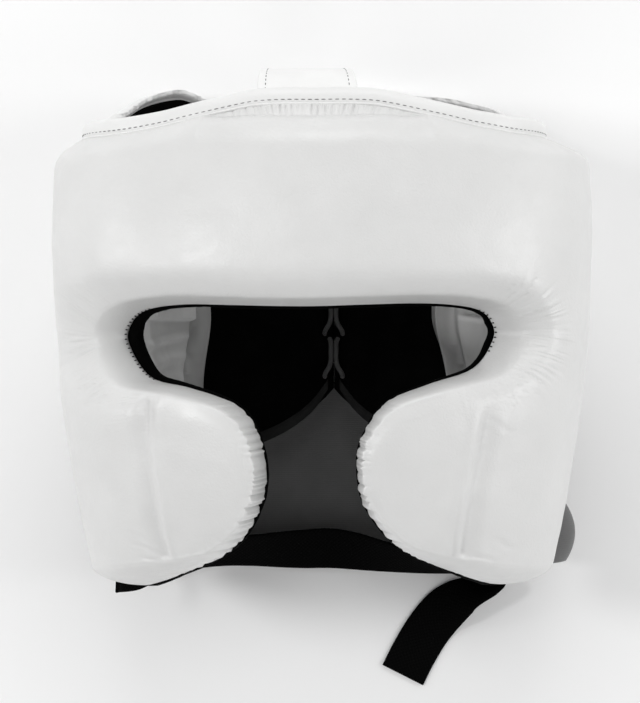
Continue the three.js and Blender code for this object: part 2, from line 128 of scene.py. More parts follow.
class Gathers:
    """Rounded ridges between narrow creases at uneven spacing along a line."""

    def __init__(self, spacing: float, span: float, seed: int, contrast: float = 1.0) -> None:
        """Lay out the creases.

        Args:
            spacing: Mean distance between two creases.
            span: Length of the line, which starts at minus half of it.
            seed: Seed of the uneven spacing.
            contrast: How few of the folds stand out.
        """
        random = np.random.default_rng(seed)
        count = int(span / spacing * 1.4) + 4
        self.creases = np.cumsum(spacing * random.uniform(0.4, 1.6, count)) - span / 2 - 2 * spacing
        self.shares = random.uniform(0.35, 1.0, count) ** contrast
        self.reaches = random.uniform(0.5, 1.4, count)

    def __call__(self, where: Array) -> tuple[Array, Array]:
        """Read the folds.

        Args:
            where: Places along the line.

        Returns:
            The height of each place, from -0.6 in a crease to 0.4 on a ridge, and the reach of its fold.
        """
        last = len(self.creases) - 2
        i = np.clip(np.searchsorted(self.creases, where, "right") - 1, 0, last)
        part = np.clip((where - self.creases[i]) / (self.creases[i + 1] - self.creases[i]), 0, 1)
        ridge = np.sin(np.pi * part) ** 0.75 - 0.6
        reach = self.reaches[i] * (1 - part) + self.reaches[i + 1] * part
        return ridge * self.shares[i], reach


def smooth_step(where: Array | float, low: float, high: float) -> Array:
    """A smooth rise from 0 at low to 1 at high."""
    part = np.clip((np.asarray(where, float) - low) / (high - low), 0, 1)
    return part * part * (3 - 2 * part)


def bell(where: Array, width: float) -> Array:
    """A smooth bump that is 1 at 0 and fades over a width."""
    return np.exp(-((where / width) ** 2))


def quarter_round(part: Array, square: Array | float = 2.0) -> Array:
    """A quarter round, from 0 at an edge to 1 where the padding is full, or a squarer one."""
    return (1 - (1 - np.clip(part, 0, 1)) ** square) ** (1 / square)


def shouldered(part: Array, softness: float) -> Array:
    """A straight slope from 0 at an edge that turns level at a soft shoulder."""
    left = 1 - part
    return 1 - 0.5 * (left + np.sqrt(left * left + softness * softness))


def nearest_on_line(line: Array, points: Array) -> tuple[Array, Array]:
    """Find the nearest place on a planar line for many points.

    Args:
        line: The line's points, (n, 2).
        points: The points, (m, 2).

    Returns:
        The distances, and the places as fractional indices of the line.
    """
    start, step = line[:-1], np.diff(line, axis=0)
    squared = np.maximum((step**2).sum(1), 1e-12)
    distances = np.empty(len(points))
    places = np.empty(len(points))
    for low in range(0, len(points), 4096):
        here = points[low : low + 4096]
        away = here[:, None, :] - start[None, :, :]
        part = np.clip((away * step).sum(2) / squared, 0, 1)
        gap = ((away - part[..., None] * step) ** 2).sum(2)
        index = gap.argmin(1)
        row = np.arange(len(here))
        distances[low : low + 4096] = np.sqrt(gap[row, index])
        places[low : low + 4096] = index + part[row, index]
    return distances, places


def lengths_along(path: Array) -> Array:
    """Lengths along a path from its first point to each of its points."""
    return np.concatenate([[0], np.cumsum(np.linalg.norm(np.diff(path, axis=0), axis=1))])


def read_between(table: Array, index: Array) -> Array:
    """Rows of a table at fractional indices."""
    counts = np.arange(len(table))
    return np.stack([np.interp(index, counts, column) for column in table.T], 1)


def unevenness(points: Array, scale: float, seed: float) -> Array:
    """Smooth noise at points.

    Args:
        points: Points in millimetres, (..., 3).
        scale: Size of the bumps in millimetres.
        seed: Shift of the noise.

    Returns:
        Values from about -1 to 1.
    """
    flat = points.reshape(-1, 3) / scale + seed
    return np.array([noise.noise(Vector(p)) for p in flat]).reshape(points.shape[:-1])


# The guard's form


class EdgeShape(NamedTuple):
    """How the pad rises from the edge of the opening."""

    roll: float  # width of the first, steep part
    straight: float  # share of that part that is a plane and not a round
    share: float  # share of the thickness that rises over a slope
    band: float  # width of that slope


class OpeningKey(NamedTuple):
    """A point on the edge of the opening, on both sides, and the pad's outer edge across from it."""

    left: tuple[float, float]
    right: tuple[float, float]
    left_edge: EdgeShape
    right_edge: EdgeShape
    hem: float
    funnel: float
    lip: float
    left_lip: float
    rear_y: float | None
    rim_angle: float | None


class GuardForm:
    """The wall that all pieces lie on, its flat pattern, and the edge of the opening."""

    WIDEST_Z = 140.0
    FRONT_SQUARENESS = 2.5
    BACK_SQUARENESS = 3.2
    BACK_DEPTH = 134.0
    BACK_FLAT_Z = 9.0
    REAR_ANGLE = math.radians(122)
    RIM_SIDE_Y = 100.7
    REAR_FOOT_Y = -113.0
    PAD_EDGE = 0.8
    RIGHT_DIP = 7.5  # how far the top edge leans in on the right
    DIP_ACROSS = (78, 114)  # where that lean starts and is full across the guard
    DIP_UP = (90, 101)  # and up the guard
    # angle from the front, height of the pad's top edge
    RIM = (
        (0, 113.3), (20, 113.3), (30, 112.6), (40, 110.2), (50, 106.9), (60, 103), (68, 101.1), (78, 100.7),
        (140, RIM_SIDE_Y),
    )
    # height, outer half width, wall half width, outer front, wall front
    LEVELS = (
        (-116, 107, 83, 213, 186),
        (-60, 118, 89, 226, 195),
        (-10, 125, 96, 230, 199),
        (50, 128.5, 102, 229, 198),
        (90, 127.5, 108, 224, 194),
        (125, 126, 111, 217, 189),
    )
    # x and y on the left and on the right as seen from the front, shapes of the pad's edge there, hem
    # gathers, slot wrinkles, how far the lining stands out on both sides and more on the left, height of
    # the rear edge or angle of the rim across from it
    OPENING_ROWS = (
        ((84, -111.2), (84, -110), (9, 0, 0.1, 9), (9, 0, 0.1, 9), 0.05, 0, 0.5, 0, REAR_FOOT_Y, None),
        ((66.3, -104.6), (64.9, -102.8), (7, 0, 0.1, 9), (6, 0, 0.1, 9), 0.3, 0, 0.5, 0, -106, None),
        ((42.9, -93.4), (39.2, -90.6), (2, 0, 0.08, 6), (2.4, 0, 0.1, 6), 1, 0, 0.6, 0.3, -97, None),
        ((29.6, -79.2), (22.9, -71.6), (1.5, 0, 0.08, 5), (1.6, 0, 0.1, 5.5), 1, 0, 0.6, 0.5, -87, None),
        ((23.1, -58.8), (19.1, -54.1), (1.3, 0, 0.09, 5), (1.6, 0, 0.1, 6), 0.9, 0, 0.5, 0.3, -77, None),
        ((26.4, -37.7), (21.2, -39.5), (1.4, 0, 0.1, 5), (1.8, 0, 0.1, 6), 0.7, 0, 0.4, 0.2, -66, None),
        ((36.5, -24.5), (32.1, -23.5), (2.6, 0, 0.08, 8), (2.6, 0, 0.08, 8), 0.25, 0, 0.4, 0.3, -55, None),
        ((58.1, -16.8), (51.2, -15.1), (3.6, 0, 0.05, 9), (3.4, 0, 0.05, 9), 0, 0.1, 0.7, 0.4, -42, None),
        ((77.7, -11.8), (72.3, -7.6), (4, 0, 0.32, 15), (3.6, 0, 0.26, 10), 0, 0.7, 1, 1.6, -25, None),
        ((89.1, 3.5), (81.7, 6.2), (2.8, 0.3, 0.56, 24), (3, 0.3, 0.7, 8.5), 0, 1, 0.9, 4.6, 12, None),
        ((87.9, 12.8), (80.1, 14.5), (2.8, 0.5, 0.5, 20), (3, 0.5, 0.65, 9), 0, 1, 0.7, 4, 56, None),
        (
            (79.5, 19.2), (74.1, 19.3), (3, 0.8, 0.5, 14), (3.2, 0.8, 0.5, 12),
            0, 0.6, 0.8, 0.6, RIM_SIDE_Y, 122,
        ),
        ((61.8, 21.6), (61.2, 21.5), (3.4, 1, 0.48, 12), (3.4, 1, 0.48, 12), 0, 0.1, 1.2, 0, None, 88),
        ((40.1, 21.3), (43.9, 22), (3.4, 1, 0.45, 12), (3.4, 1, 0.45, 12), 0, 0, 1.3, 0, None, 58),
        ((19.5, 20.8), (22.4, 21.4), (3.4, 1, 0.45, 12.5), (3.4, 1, 0.45, 12.5), 0, 0, 1.3, 0, None, 29),
        ((0, 20.7), (0, 20.7), (3.4, 1, 0.45, 13), (3.4, 1, 0.45, 13), 0, 0, 1.3, 0, None, 0),
    )
    OPENING = tuple(
        OpeningKey(left, right, EdgeShape(*left_edge), EdgeShape(*right_edge), *rest)
        for left, right, left_edge, right_edge, *rest in OPENING_ROWS
    )
    CORNER = 11  # the key across from which the rear edge meets the rim
    ANGLE_STEPS = 720
    HALVINGS = 40

    def __init__(self) -> None:
        """Work out the flat pattern and the spline of the opening."""
        self.levels = TableCurve(self.LEVELS)
        self.rim_curve = TableCurve(self.RIM)
        self.angles = np.linspace(0, np.pi, self.ANGLE_STEPS + 1)
        self.lengths = lengths_along(np.stack(self.section(self.angles, np.zeros_like(self.angles)), 1))
        self.back_length = float(self.lengths[-1])
        self.rear_length = float(self.length_at(np.array(self.REAR_ANGLE)))
        keys = self.OPENING
        left = [(-x, y) for x, y in (key.left for key in keys)]
        self.seen = np.array(left + [key.right for key in keys[-2::-1]], float)

    def section(self, angle: Array, y: Array) -> tuple[Array, Array]:
        """The wall's section at one height, by the angle from the front, as x and z."""
        level = self.levels(y)
        across, along = np.sin(angle), np.cos(angle)
        front = along >= 0
        power = np.where(front, self.FRONT_SQUARENESS, self.BACK_SQUARENESS)
        depth = np.where(front, level[..., 3] - self.WIDEST_Z, self.BACK_DEPTH)
        total = np.abs(across / level[..., 1]) ** power + np.abs(along / depth) ** power
        radius = total ** (-1 / power)
        return radius * across, np.maximum(self.WIDEST_Z + radius * along, self.BACK_FLAT_Z)

    def wall(self, angle: Array, y: Array, offset: Array | float) -> Array:
        """Points at some distance outside the wall, square to its section.

        Args:
            angle: Angles from the front.
            y: Heights from chin to crown.
            offset: Distances outside the wall.

        Returns:
            The points, (..., 3).
        """
        step = 0.01
        x, z = self.section(angle, y)
        x1, z1 = self.section(angle + step, y)
        x0, z0 = self.section(angle - step, y)
        along_x, along_z = x1 - x0, z1 - z0
        size = np.hypot(along_x, along_z)
        x, z = x - along_z / size * offset, z + along_x / size * offset
        x = x - self.RIGHT_DIP * smooth_step(x, *self.DIP_ACROSS) * smooth_step(y, *self.DIP_UP)
        return np.stack([x, y + 0 * x, np.maximum(z, 0)], -1)

    def wall_at(self, place: Array, offset: Array | float) -> Array:
        """Points at some distance outside the wall, by their places on the flat pattern."""
        return self.wall(self.angle_at(place[..., 0]), place[..., 1], offset)

    def length_at(self, angle: Array) -> Array:
        """Lengths along the wall from the front, by angle."""
        return np.sign(angle) * np.interp(np.abs(angle), self.angles, self.lengths)

    def angle_at(self, length: Array) -> Array:
        """Angles from the front, by length along the wall."""
        return np.sign(length) * np.interp(np.abs(length), self.lengths, self.angles)

    def pattern_place(self, x: Array, y: Array, offset: float = PAD_EDGE) -> Array:
        """Places on the flat pattern of points outside the wall that are seen at x and y from the front."""
        low, high = np.zeros_like(x), np.full_like(x, np.pi / 2)
        for _ in range(self.HALVINGS):
            middle = (low + high) / 2
            inside = self.wall(middle, y, offset)[..., 0] < np.abs(x)
            low, high = np.where(inside, middle, low), np.where(inside, high, middle)
        return np.stack([np.sign(x) * self.length_at(low), y], -1)

    def rim(self, angle: Array) -> Array:
        """Height of the pad's top edge."""
        return self.rim_curve(np.degrees(np.abs(angle)))[..., 0]

    def seen_opening(self, at: Array) -> Array:
        """The opening's edge as seen from the front, from the left foot at 0 to the right foot at 1."""
        last = len(self.seen) - 1
        i = np.clip(np.floor(at * last).astype(int), 0, last - 1)
        p = (at * last - i)[:, None]
        a, b = self.seen[np.maximum(i - 1, 0)], self.seen[i]
        c, d = self.seen[i + 1], self.seen[np.minimum(i + 2, last)]
        v0, v1 = (c - a) / 2, (d - b) / 2
        return (2 * b - 2 * c + v0 + v1) * p**3 + (-3 * b + 3 * c - 2 * v0 - v1) * p**2 + v0 * p + b

    def opening(self, at: Array, lip: Array | float = 0.0) -> Array:
        """The opening's edge on the flat pattern.

        Args:
            at: Places along the edge, from the left foot at 0 to the right foot at 1.
            lip: How far the edge stands into the opening.

        Returns:
            Places on the flat pattern, (n, 2).
        """
        step = 1e-4
        along = self.seen_opening(np.minimum(at + step, 1)) - self.seen_opening(np.maximum(at - step, 0))
        along /= np.linalg.norm(along, axis=1, keepdims=True)
        seen = self.seen_opening(at)
        lip = np.broadcast_to(np.asarray(lip, float), at.shape)
        return self.pattern_place(seen[:, 0] + along[:, 1] * lip, seen[:, 1] - along[:, 0] * lip)

    def key_at(self, at: Array) -> Array:
        """Fractional index of the opening's key, from 0 at either foot."""
        return 2 * np.minimum(at, 1 - at) * (len(self.OPENING) - 1)

    def outer_edge(self, at: Array) -> Array:
        """The pad's outer edge on the flat pattern, across from the opening's edge."""
        key = self.key_at(at)
        side = np.where(at <= 0.5, -1.0, 1.0)
        lower, upper = self.OPENING[: self.CORNER + 1], self.OPENING[self.CORNER :]
        rear_y = np.interp(key, range(self.CORNER + 1), [k.rear_y for k in lower])
        turn = np.interp(key - self.CORNER, range(len(upper)), [k.rim_angle for k in upper])
        angle = np.radians(turn)
        x = np.where(key < self.CORNER, self.rear_length, self.length_at(angle))
        return np.stack([side * x, np.where(key < self.CORNER, rear_y, self.rim(angle))], -1)

    def along_keys(self, name: str, key: Array) -> Array:
        """One column of the opening's table, read between its keys."""
        return np.interp(key, range(len(self.OPENING)), [getattr(k, name) for k in self.OPENING])

    def edge_shape(self, key: Array, side: Array) -> list[Array]:
        """Roll, straightness, share and band of the pad's edge, read between the keys of each side."""
        counts = range(len(self.OPENING))
        left = np.array([k.left_edge for k in self.OPENING]).T
        right = np.array([k.right_edge for k in self.OPENING]).T
        return [
            np.where(side < 0, np.interp(key, counts, a), np.interp(key, counts, b))
            for a, b in zip(left, right)
        ]


class OpeningEdge:
    """The opening's edge with the pad's lower edges, as one line to measure from."""

    SAMPLES = 601
    REAR_SAMPLES = 24

    def __init__(self, form: GuardForm) -> None:
        """Trace the line on the flat pattern.

        Args:
            form: The guard's form.
        """
        at = np.linspace(0, 1, self.SAMPLES)
        line = form.opening(at)
        corner = np.array([form.rear_length, form.REAR_FOOT_Y])
        share = np.linspace(0, 1, self.REAR_SAMPLES, endpoint=False)[:, None]
        left = corner * [-1, 1] * (1 - share) + line[0] * share
        right = (corner * (1 - share) + line[-1] * share)[::-1]
        none = np.zeros(self.REAR_SAMPLES)
        self.line = np.concatenate([left, line, right])
        self.keys = np.concatenate([none, form.key_at(at), none])
        self.at = at
        self.along = lengths_along(self.line)
        self.along -= self.along[-1] / 2

    def along_at(self, at: Array) -> Array:
        """Places along the line of points on the opening's edge."""
        return np.interp(at, self.at, self.along[self.REAR_SAMPLES : self.REAR_SAMPLES + self.SAMPLES])

    def nearest(self, place: Array) -> tuple[Array, Array, Array]:
        """Measure places of the flat pattern from the edge.

        Args:
            place: Places, (..., 2).

        Returns:
            Distances, places along the edge, and key indices.
        """
        distance, index = nearest_on_line(self.line, place.reshape(-1, 2))
        counts = np.arange(len(self.line))
        shape = place.shape[:-1]
        along = np.interp(index, counts, self.along)
        keys = np.interp(index, counts, self.keys)
        return distance.reshape(shape), along.reshape(shape), keys.reshape(shape)


# Meshes


def make_piece(name: str, points: Array, faces: list[list[int]], uv: Array | None = None) -> bpy.types.Object:
    """Make an object from points in the guard's millimetres, with its faces pointing outwards.

    Args:
        name: The piece's name.
        points: Points, (n, 3).
        faces: Lists of point indices.
        uv: Texture places of the points in metres, (n, 2), if the finish follows the surface.

    Returns:
        The new object, at the origin and linked to the scene.
    """
    first = np.array([face[:3] for face in faces])
    a, b, c = (points[first[:, i]] - points.mean(0) for i in range(3))
    if np.einsum("ij,ij->", a, np.cross(b, c)) < 0:
        faces = [face[::-1] for face in faces]
    mesh = bpy.data.meshes.new(name)
    placed = (points + [0, MIDDLE_SHIFT, 0]) * MM
    mesh.from_pydata(placed.tolist(), [], faces)
    mesh.update()
    mesh.polygons.foreach_set("use_smooth", np.ones(len(mesh.polygons), bool))
    if uv is not None:
        layer = mesh.uv_layers.new(name="surface")
        corners = np.empty(len(mesh.loops), np.int32)
        mesh.loops.foreach_get("vertex_index", corners)
        layer.data.foreach_set("uv", uv[corners].astype(np.float32).ravel())
    piece = bpy.data.objects.new(name, mesh)
    bpy.context.scene.collection.objects.link(piece)
    return piece


def closed_shell(
    outer: Array, inner: Array, stride: tuple[int, int] = (1, 1)
) -> tuple[Array, list[list[int]]]:
    """Close the space between two grids, of which the inner one may be thinned out.

    Args:
        outer: Points, (columns, rows, 3).
        inner: Points of the same shape.
        stride: Steps between the columns and between the rows of the inner grid that are kept.

    Returns:
        Points and faces.
    """
    columns, rows = outer.shape[:2]
    kept_columns = list(range(0, columns, stride[0]))
    kept_rows = list(range(0, rows, stride[1]))
    thin = inner[kept_columns][:, kept_rows]
    across = len(kept_rows)
    base = columns * rows
    corner = (np.arange(columns - 1)[:, None] * rows + np.arange(rows - 1)).ravel()
    faces = np.stack([corner, corner + rows, corner + rows + 1, corner + 1], 1).tolist()
    corner = base + (np.arange(len(kept_columns) - 1)[:, None] * across + np.arange(across - 1)).ravel()
    faces += np.stack([corner, corner + 1, corner + across + 1, corner + across], 1).tolist()
    for i, column in enumerate(kept_columns[:-1]):
        stretch = range(column, kept_columns[i + 1] + 1)
        near, far = base + i * across, base + (i + 1) * across
        faces.append([near, far, *(k * rows for k in reversed(stretch))])
        faces.append([far + across - 1, near + across - 1, *(k * rows + rows - 1 for k in stretch)])
    for j, row in enumerate(kept_rows[:-1]):
        stretch = range(row, kept_rows[j + 1] + 1)
        near, far = base + j, base + j + 1
        end = (len(kept_columns) - 1) * across
        faces.append([far, near, *stretch])
        faces.append([near + end, far + end, *((columns - 1) * rows + k for k in reversed(stretch))])
    return np.concatenate([outer.reshape(-1, 3), thin.reshape(-1, 3)]), faces


def swept(rings: Array) -> tuple[Array, list[list[int]]]:
    """Close a tube through rings of points, with a flat cap at each end.

    Args:
        rings: Points, (rings, points of a ring, 3).

    Returns:
        Points and faces.
    """
    count, around = rings.shape[:2]
    start = np.arange(count - 1)[:, None] * around
    here, after = np.arange(around), np.roll(np.arange(around), -1)
    quads = np.stack([start + here, start + after, start + around + after, start + around + here], -1)
    faces = quads.reshape(-1, 4).tolist()
    faces.append(list(range(around))[::-1])
    faces.append(list(range((count - 1) * around, count * around)))
    return rings.reshape(-1, 3), faces


def unit(vectors: Array) -> Array:
    """Vectors of length 1."""
    return vectors / np.maximum(np.linalg.norm(vectors, axis=-1, keepdims=True), 1e-9)


def tube(path: Array, radius: float, around: int = 12) -> Array:
    """Rings of a round tube along a path.

    Args:
        path: Points, (n, 3).
        radius: The tube's radius.
        around: Points of a ring.

    Returns:
        Rings, (n, around, 3).
    """
    along = unit(np.gradient(path, axis=0))
    across = unit(np.cross(along, [0.0, 0.0, 1.0]) + 1e-6)
    up = np.cross(across, along)
    turn = np.linspace(0, 2 * np.pi, around, endpoint=False)
    ring = np.cos(turn)[None, :, None] * across[:, None] + np.sin(turn)[None, :, None] * up[:, None]
    return path[:, None] + radius * ring


def band_section(width: float, thickness: float, edge: int = 4) -> Array:
    """Section of a flat band with round edges.

    Args:
        width: Full width.
        thickness: Full thickness.
        edge: Steps of each round edge.

    Returns:
        Points, (n, 2), across and up in millimetres.
    """
    radius = thickness / 2
    turn = np.linspace(-np.pi / 2, np.pi / 2, edge + 1)
    right = np.stack([width / 2 - radius + radius * np.cos(turn), radius * np.sin(turn)], 1)
    flat = np.linspace(width / 2 - radius, -width / 2 + radius, 10)[1:-1]
    top = np.stack([flat, np.full_like(flat, radius)], 1)
    return np.concatenate([right, top, -right, -top])


def texture_places(along: Array, across: Array) -> Array:
    """Texture places in metres of a grid's points, by lengths along it and across it."""
    return np.stack(np.broadcast_arrays(along[:, None], across), -1).reshape(-1, 2) * MM


def dress(piece: bpy.types.Object, finish: bpy.types.Material, slot: str, *nodes: str) -> bpy.types.Object:
    """Give a piece its finish and its place in the frame.

    Args:
        piece: The finished object.
        finish: Its material.
        slot: Not used.
        nodes: The frame's nodes that it stands for.

    Returns:
        The same object.
    """
    piece.data.materials.clear()
    piece.data.materials.append(finish)
    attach(piece, BODY)
    if nodes:
        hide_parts(*nodes)
    log.info("%s: %d faces", piece.name, len(piece.data.polygons))
    return piece


# Finishes


def grey(value: float) -> Colour:
    """A grey as red, green and blue."""
    return value, value, value


class Shader:
    """A node material under construction."""

    def __init__(self, name: str) -> None:
        """Start a material with one principled shader."""
        self.material = bpy.data.materials.new(name)
        self.material.use_nodes = True
        self.tree = self.material.node_tree
        self.surface = self.tree.nodes["Principled BSDF"]

    def add(self, kind: str, settings: dict | None = None, sockets: dict | None = None) -> bpy.types.Node:
        """Add a node.

        Args:
            kind: The node's type.
            settings: Its properties.
            sockets: Its inputs by name or number, each a value or an output to link.

        Returns:
            The node.
        """
        node = self.tree.nodes.new(kind)
        for name, value in (settings or {}).items():
            setattr(node, name, value)
        self.set(node, sockets or {})
        return node

    def set(self, node: bpy.types.Node, sockets: dict) -> None:
        """Set or link a node's inputs."""
        for name, value in sockets.items():
            if isinstance(value, bpy.types.NodeSocket):
                self.tree.links.new(value, node.inputs[name])
            else:
                node.inputs[name].default_value = value

    def place(self, scale: Sequence[float] = (1, 1, 1), source: str = "Object") -> bpy.types.NodeSocket:
        """Object or UV coordinates, stretched by a scale."""
        start = self.add("ShaderNodeTexCoord")
        sockets = {"Vector": start.outputs[source], "Scale": tuple(scale)}
        return self.add("ShaderNodeMapping", None, sockets).outputs["Vector"]

    def noise(self, where: bpy.types.NodeSocket, scale: float, detail: float = 3.0) -> bpy.types.NodeSocket:
        """A noise texture's value."""
        sockets = {"Vector": where, "Scale": scale, "Detail": detail}
        return self.add("ShaderNodeTexNoise", None, sockets).outputs["Fac"]

    def ramp(self, value: bpy.types.NodeSocket, low: float, high: float, start: float, end: float):
        """A value mapped from one range to another, clamped."""
        sockets = {"Value": value, 1: low, 2: high, 3: start, 4: end}
        return self.add("ShaderNodeMapRange", None, sockets).outputs["Result"]

    def math(self, operation: str, a, b=0.0) -> bpy.types.NodeSocket:
        """A sum, product or other calculation of two values."""
        return self.add("ShaderNodeMath", {"operation": operation}, {0: a, 1: b}).outputs[0]

    def blend(self, share, a: Sequence[float], b: Sequence[float]) -> bpy.types.NodeSocket:
        """A colour between two colours."""
        node = self.add("ShaderNodeMix", {"data_type": "RGBA"}, {"Factor": share})
        node.inputs[6].default_value = (*a, 1)
        node.inputs[7].default_value = (*b, 1)
        return node.outputs[2]

    def bump(self, height, distance: float, strength: float = 1.0, below=None) -> bpy.types.NodeSocket:
        """A bumped normal, on top of another one if given."""
        sockets = {"Height": height, "Distance": distance, "Strength": strength}
        if below is not None:
            sockets["Normal"] = below
        return self.add("ShaderNodeBump", None, sockets).outputs["Normal"]


@dataclass(frozen=True)
class Leather:
    """White leather with a fine grain, hair creases and soft gloss, and shade painted on rolls where asked.
    """

    name: str
    light: Colour = (0.66, 0.66, 0.655)
    shade: Colour = (0.63, 0.63, 0.625)
    roughness: float = 0.37
    grain: float = 1150.0
    grain_depth: float = 0.00012
    hair_share: float = 0.23  # scale of the hair creases against the grain's
    push: float = 0.0012  # how far the grain is pushed out of its even cells
    # the colour factor where the "roll" attribute paints shade; 1 paints none
    painted_roll_shade: float = 1.0  # how dark the leather is on a roll

    def build(self) -> bpy.types.Material:
        """Make the material."""
        shader = Shader(self.name)
        where = shader.place()
        drift = shader.noise(where, 420.0, 2.0)
        pushed = shader.add(
            "ShaderNodeVectorMath",
            {"operation": "MULTIPLY_ADD"},
            {0: drift, 1: (self.push, self.push, self.push), 2: where},
        ).outputs["Vector"]
        pebbles = shader.add(
            "ShaderNodeTexVoronoi",
            {"feature": "SMOOTH_F1"},
            {"Vector": pushed, "Scale": self.grain},
        ).outputs["Distance"]
        hairs = shader.add(
            "ShaderNodeTexVoronoi",
            {"feature": "DISTANCE_TO_EDGE"},
            {"Vector": pushed, "Scale": self.grain * self.hair_share},
        ).outputs["Distance"]
        creases = shader.ramp(hairs, 0.0, 0.2, 0.0, 1.0)
        clouds = shader.noise(where, 34.0, 4.0)
        patches = shader.noise(where, 150.0, 3.0)
        normal = shader.bump(clouds, 0.0009, 0.5)
        normal = shader.bump(creases, 0.00004, 0.5, normal)
        normal = shader.bump(pebbles, self.grain_depth, 0.6, normal)
        colour = shader.blend(shader.ramp(clouds, 0.3, 0.7, 0.0, 1.0), self.light, self.shade)
        # Painted shade: the "roll" attribute darkens the colour towards the roll factor.
        if self.painted_roll_shade < 1:
            roll = shader.add("ShaderNodeAttribute", {"attribute_name": "roll"}).outputs["Fac"]
            depth = shader.ramp(roll, 0.0, 1.0, 1.0, self.painted_roll_shade)
            scale = {"operation": "MULTIPLY"}
            colour = shader.add("ShaderNodeVectorMath", scale, {0: colour, 1: depth}).outputs["Vector"]
        rough = shader.ramp(patches, 0.3, 0.7, self.roughness - 0.06, self.roughness + 0.08)
        shader.set(shader.surface, {"Base Color": colour, "Roughness": rough, "Normal": normal})
        shader.set(shader.surface, {"Specular IOR Level": 0.5, "Coat Weight": 0.1, "Coat Roughness": 0.3})
        return shader.material


@dataclass(frozen=True)
class NappedLining:
    """Matt black lining with a short nap."""

    name: str
    dark: Colour = grey(0.0006)
    pale: Colour = grey(0.0016)

    def build(self) -> bpy.types.Material:
        """Make the material."""
        shader = Shader(self.name)
        where = shader.place()
        nap = shader.noise(where, 2600.0, 4.0)
        rubbed = shader.noise(where, 70.0, 3.0)
        colour = shader.blend(shader.ramp(rubbed, 0.35, 0.75, 0.0, 1.0), self.dark, self.pale)
        normal = shader.bump(nap, 0.0002, 0.7)
        shader.set(shader.surface, {"Base Color": colour, "Roughness": 0.95, "Normal": normal})
        shader.set(shader.surface, {"Specular IOR Level": 0.03})
        return shader.material


@dataclass(frozen=True)
class RibbedElastic:
    """Grey elastic with fine ribs along the band and a knit across them."""

    name: str
    dark: Colour = grey(0.07)
    pale: Colour = grey(0.125)
    rib: float = 1.1
    knit: float = 0.8

    def build(self) -> bpy.types.Material:
        """Make the material."""
        shader = Shader(self.name)
        where = shader.place((1, 1, 1), "UV")
        parts = shader.add("ShaderNodeSeparateXYZ", None, {0: where})
        turn = 2 * math.pi / MM
        ribs = shader.math("SINE", shader.math("MULTIPLY", parts.outputs["Y"], turn / self.rib))
        knit = shader.math("SINE", shader.math("MULTIPLY", parts.outputs["X"], turn / self.knit))
        weave = shader.math("ADD", ribs, shader.math("MULTIPLY", knit, 0.5))
        clouds = shader.noise(shader.place(), 60.0, 3.0)
        faded = shader.math("MULTIPLY", clouds, 0.5)
        share = shader.math("ADD", shader.ramp(weave, -1.5, 1.5, 0.0, 0.25), faded)
        normal = shader.bump(weave, 0.00008, 0.5)
        colour = shader.blend(share, self.dark, self.pale)
        shader.set(shader.surface, {"Base Color": colour, "Roughness": 0.9, "Normal": normal})
        shader.set(shader.surface, {"Specular IOR Level": 0.2, "Sheen Weight": 0.25, "Sheen Roughness": 0.5})
        return shader.material


@dataclass(frozen=True)
class Webbing:
    """Black woven webbing, with its yarns along and across the band."""

    name: str
    dark: Colour = grey(0.0004)
    pale: Colour = grey(0.0022)
    yarn: float = 1.15

    def build(self) -> bpy.types.Material:
        """Make the material."""
        shader = Shader(self.name)
        parts = shader.add("ShaderNodeSeparateXYZ", None, {0: shader.place((1, 1, 1), "UV")})
        turn = math.pi / (self.yarn * MM)
        along = shader.math("SINE", shader.math("MULTIPLY", parts.outputs["X"], turn))
        across = shader.math("SINE", shader.math("MULTIPLY", parts.outputs["Y"], turn))
        weave = shader.math("MULTIPLY", along, across)
        fibre = shader.noise(shader.place((1, 1, 1), "UV"), 3000.0, 3.0)
        height = shader.math("ADD", weave, shader.math("MULTIPLY", fibre, 0.5))
        colour = shader.blend(shader.ramp(height, -0.8, 1.4, 0.0, 1.0), self.dark, self.pale)
        normal = shader.bump(height, 0.0002, 0.7)
        shader.set(shader.surface, {"Base Color": colour, "Roughness": 0.85, "Normal": normal})
        shader.set(shader.surface, {"Specular IOR Level": 0.04})
        return shader.material


@dataclass(frozen=True)
class Braid:
    """Braided cord whose strands cross along it, coloured dark grey as painted shade on a white cord."""

    name: str
    dark: Colour = grey(0.03)
    pale: Colour = grey(0.07)
    strand: float = 1.1

    def build(self) -> bpy.types.Material:
        """Make the material."""
        shader = Shader(self.name)
        parts = shader.add("ShaderNodeSeparateXYZ", None, {0: shader.place((1, 1, 1), "UV")})
        turn = 2 * math.pi / (self.strand * MM)
        rising = shader.math("ADD", parts.outputs["X"], parts.outputs["Y"])
        falling = shader.math("SUBTRACT", parts.outputs["X"], parts.outputs["Y"])
        left = shader.math("SINE", shader.math("MULTIPLY", rising, turn))
        right = shader.math("SINE", shader.math("MULTIPLY", falling, turn))
        height = shader.math("MAXIMUM", left, right)
        colour = shader.blend(shader.ramp(height, -0.4, 1.0, 0.0, 1.0), self.dark, self.pale)
        shader.set(shader.surface, {"Base Color": colour, "Normal": shader.bump(height, 0.0002, 0.7)})
        shader.set(shader.surface, {"Roughness": 0.8, "Specular IOR Level": 0.2})
        return shader.material


@dataclass(frozen=True)
class Thread:
    """Twisted sewing thread."""

    name: str
    dark: Colour
    pale: Colour

    def build(self) -> bpy.types.Material:
        """Make the material."""
        shader = Shader(self.name)
        fibre = shader.noise(shader.place((1, 1, 1)), 5200.0, 2.0)
        colour = shader.blend(fibre, self.dark, self.pale)
        shader.set(shader.surface, {"Base Color": colour, "Normal": shader.bump(fibre, 0.0001, 0.6)})
        shader.set(shader.surface, {"Roughness": 0.7, "Specular IOR Level": 0.25})
        return shader.material


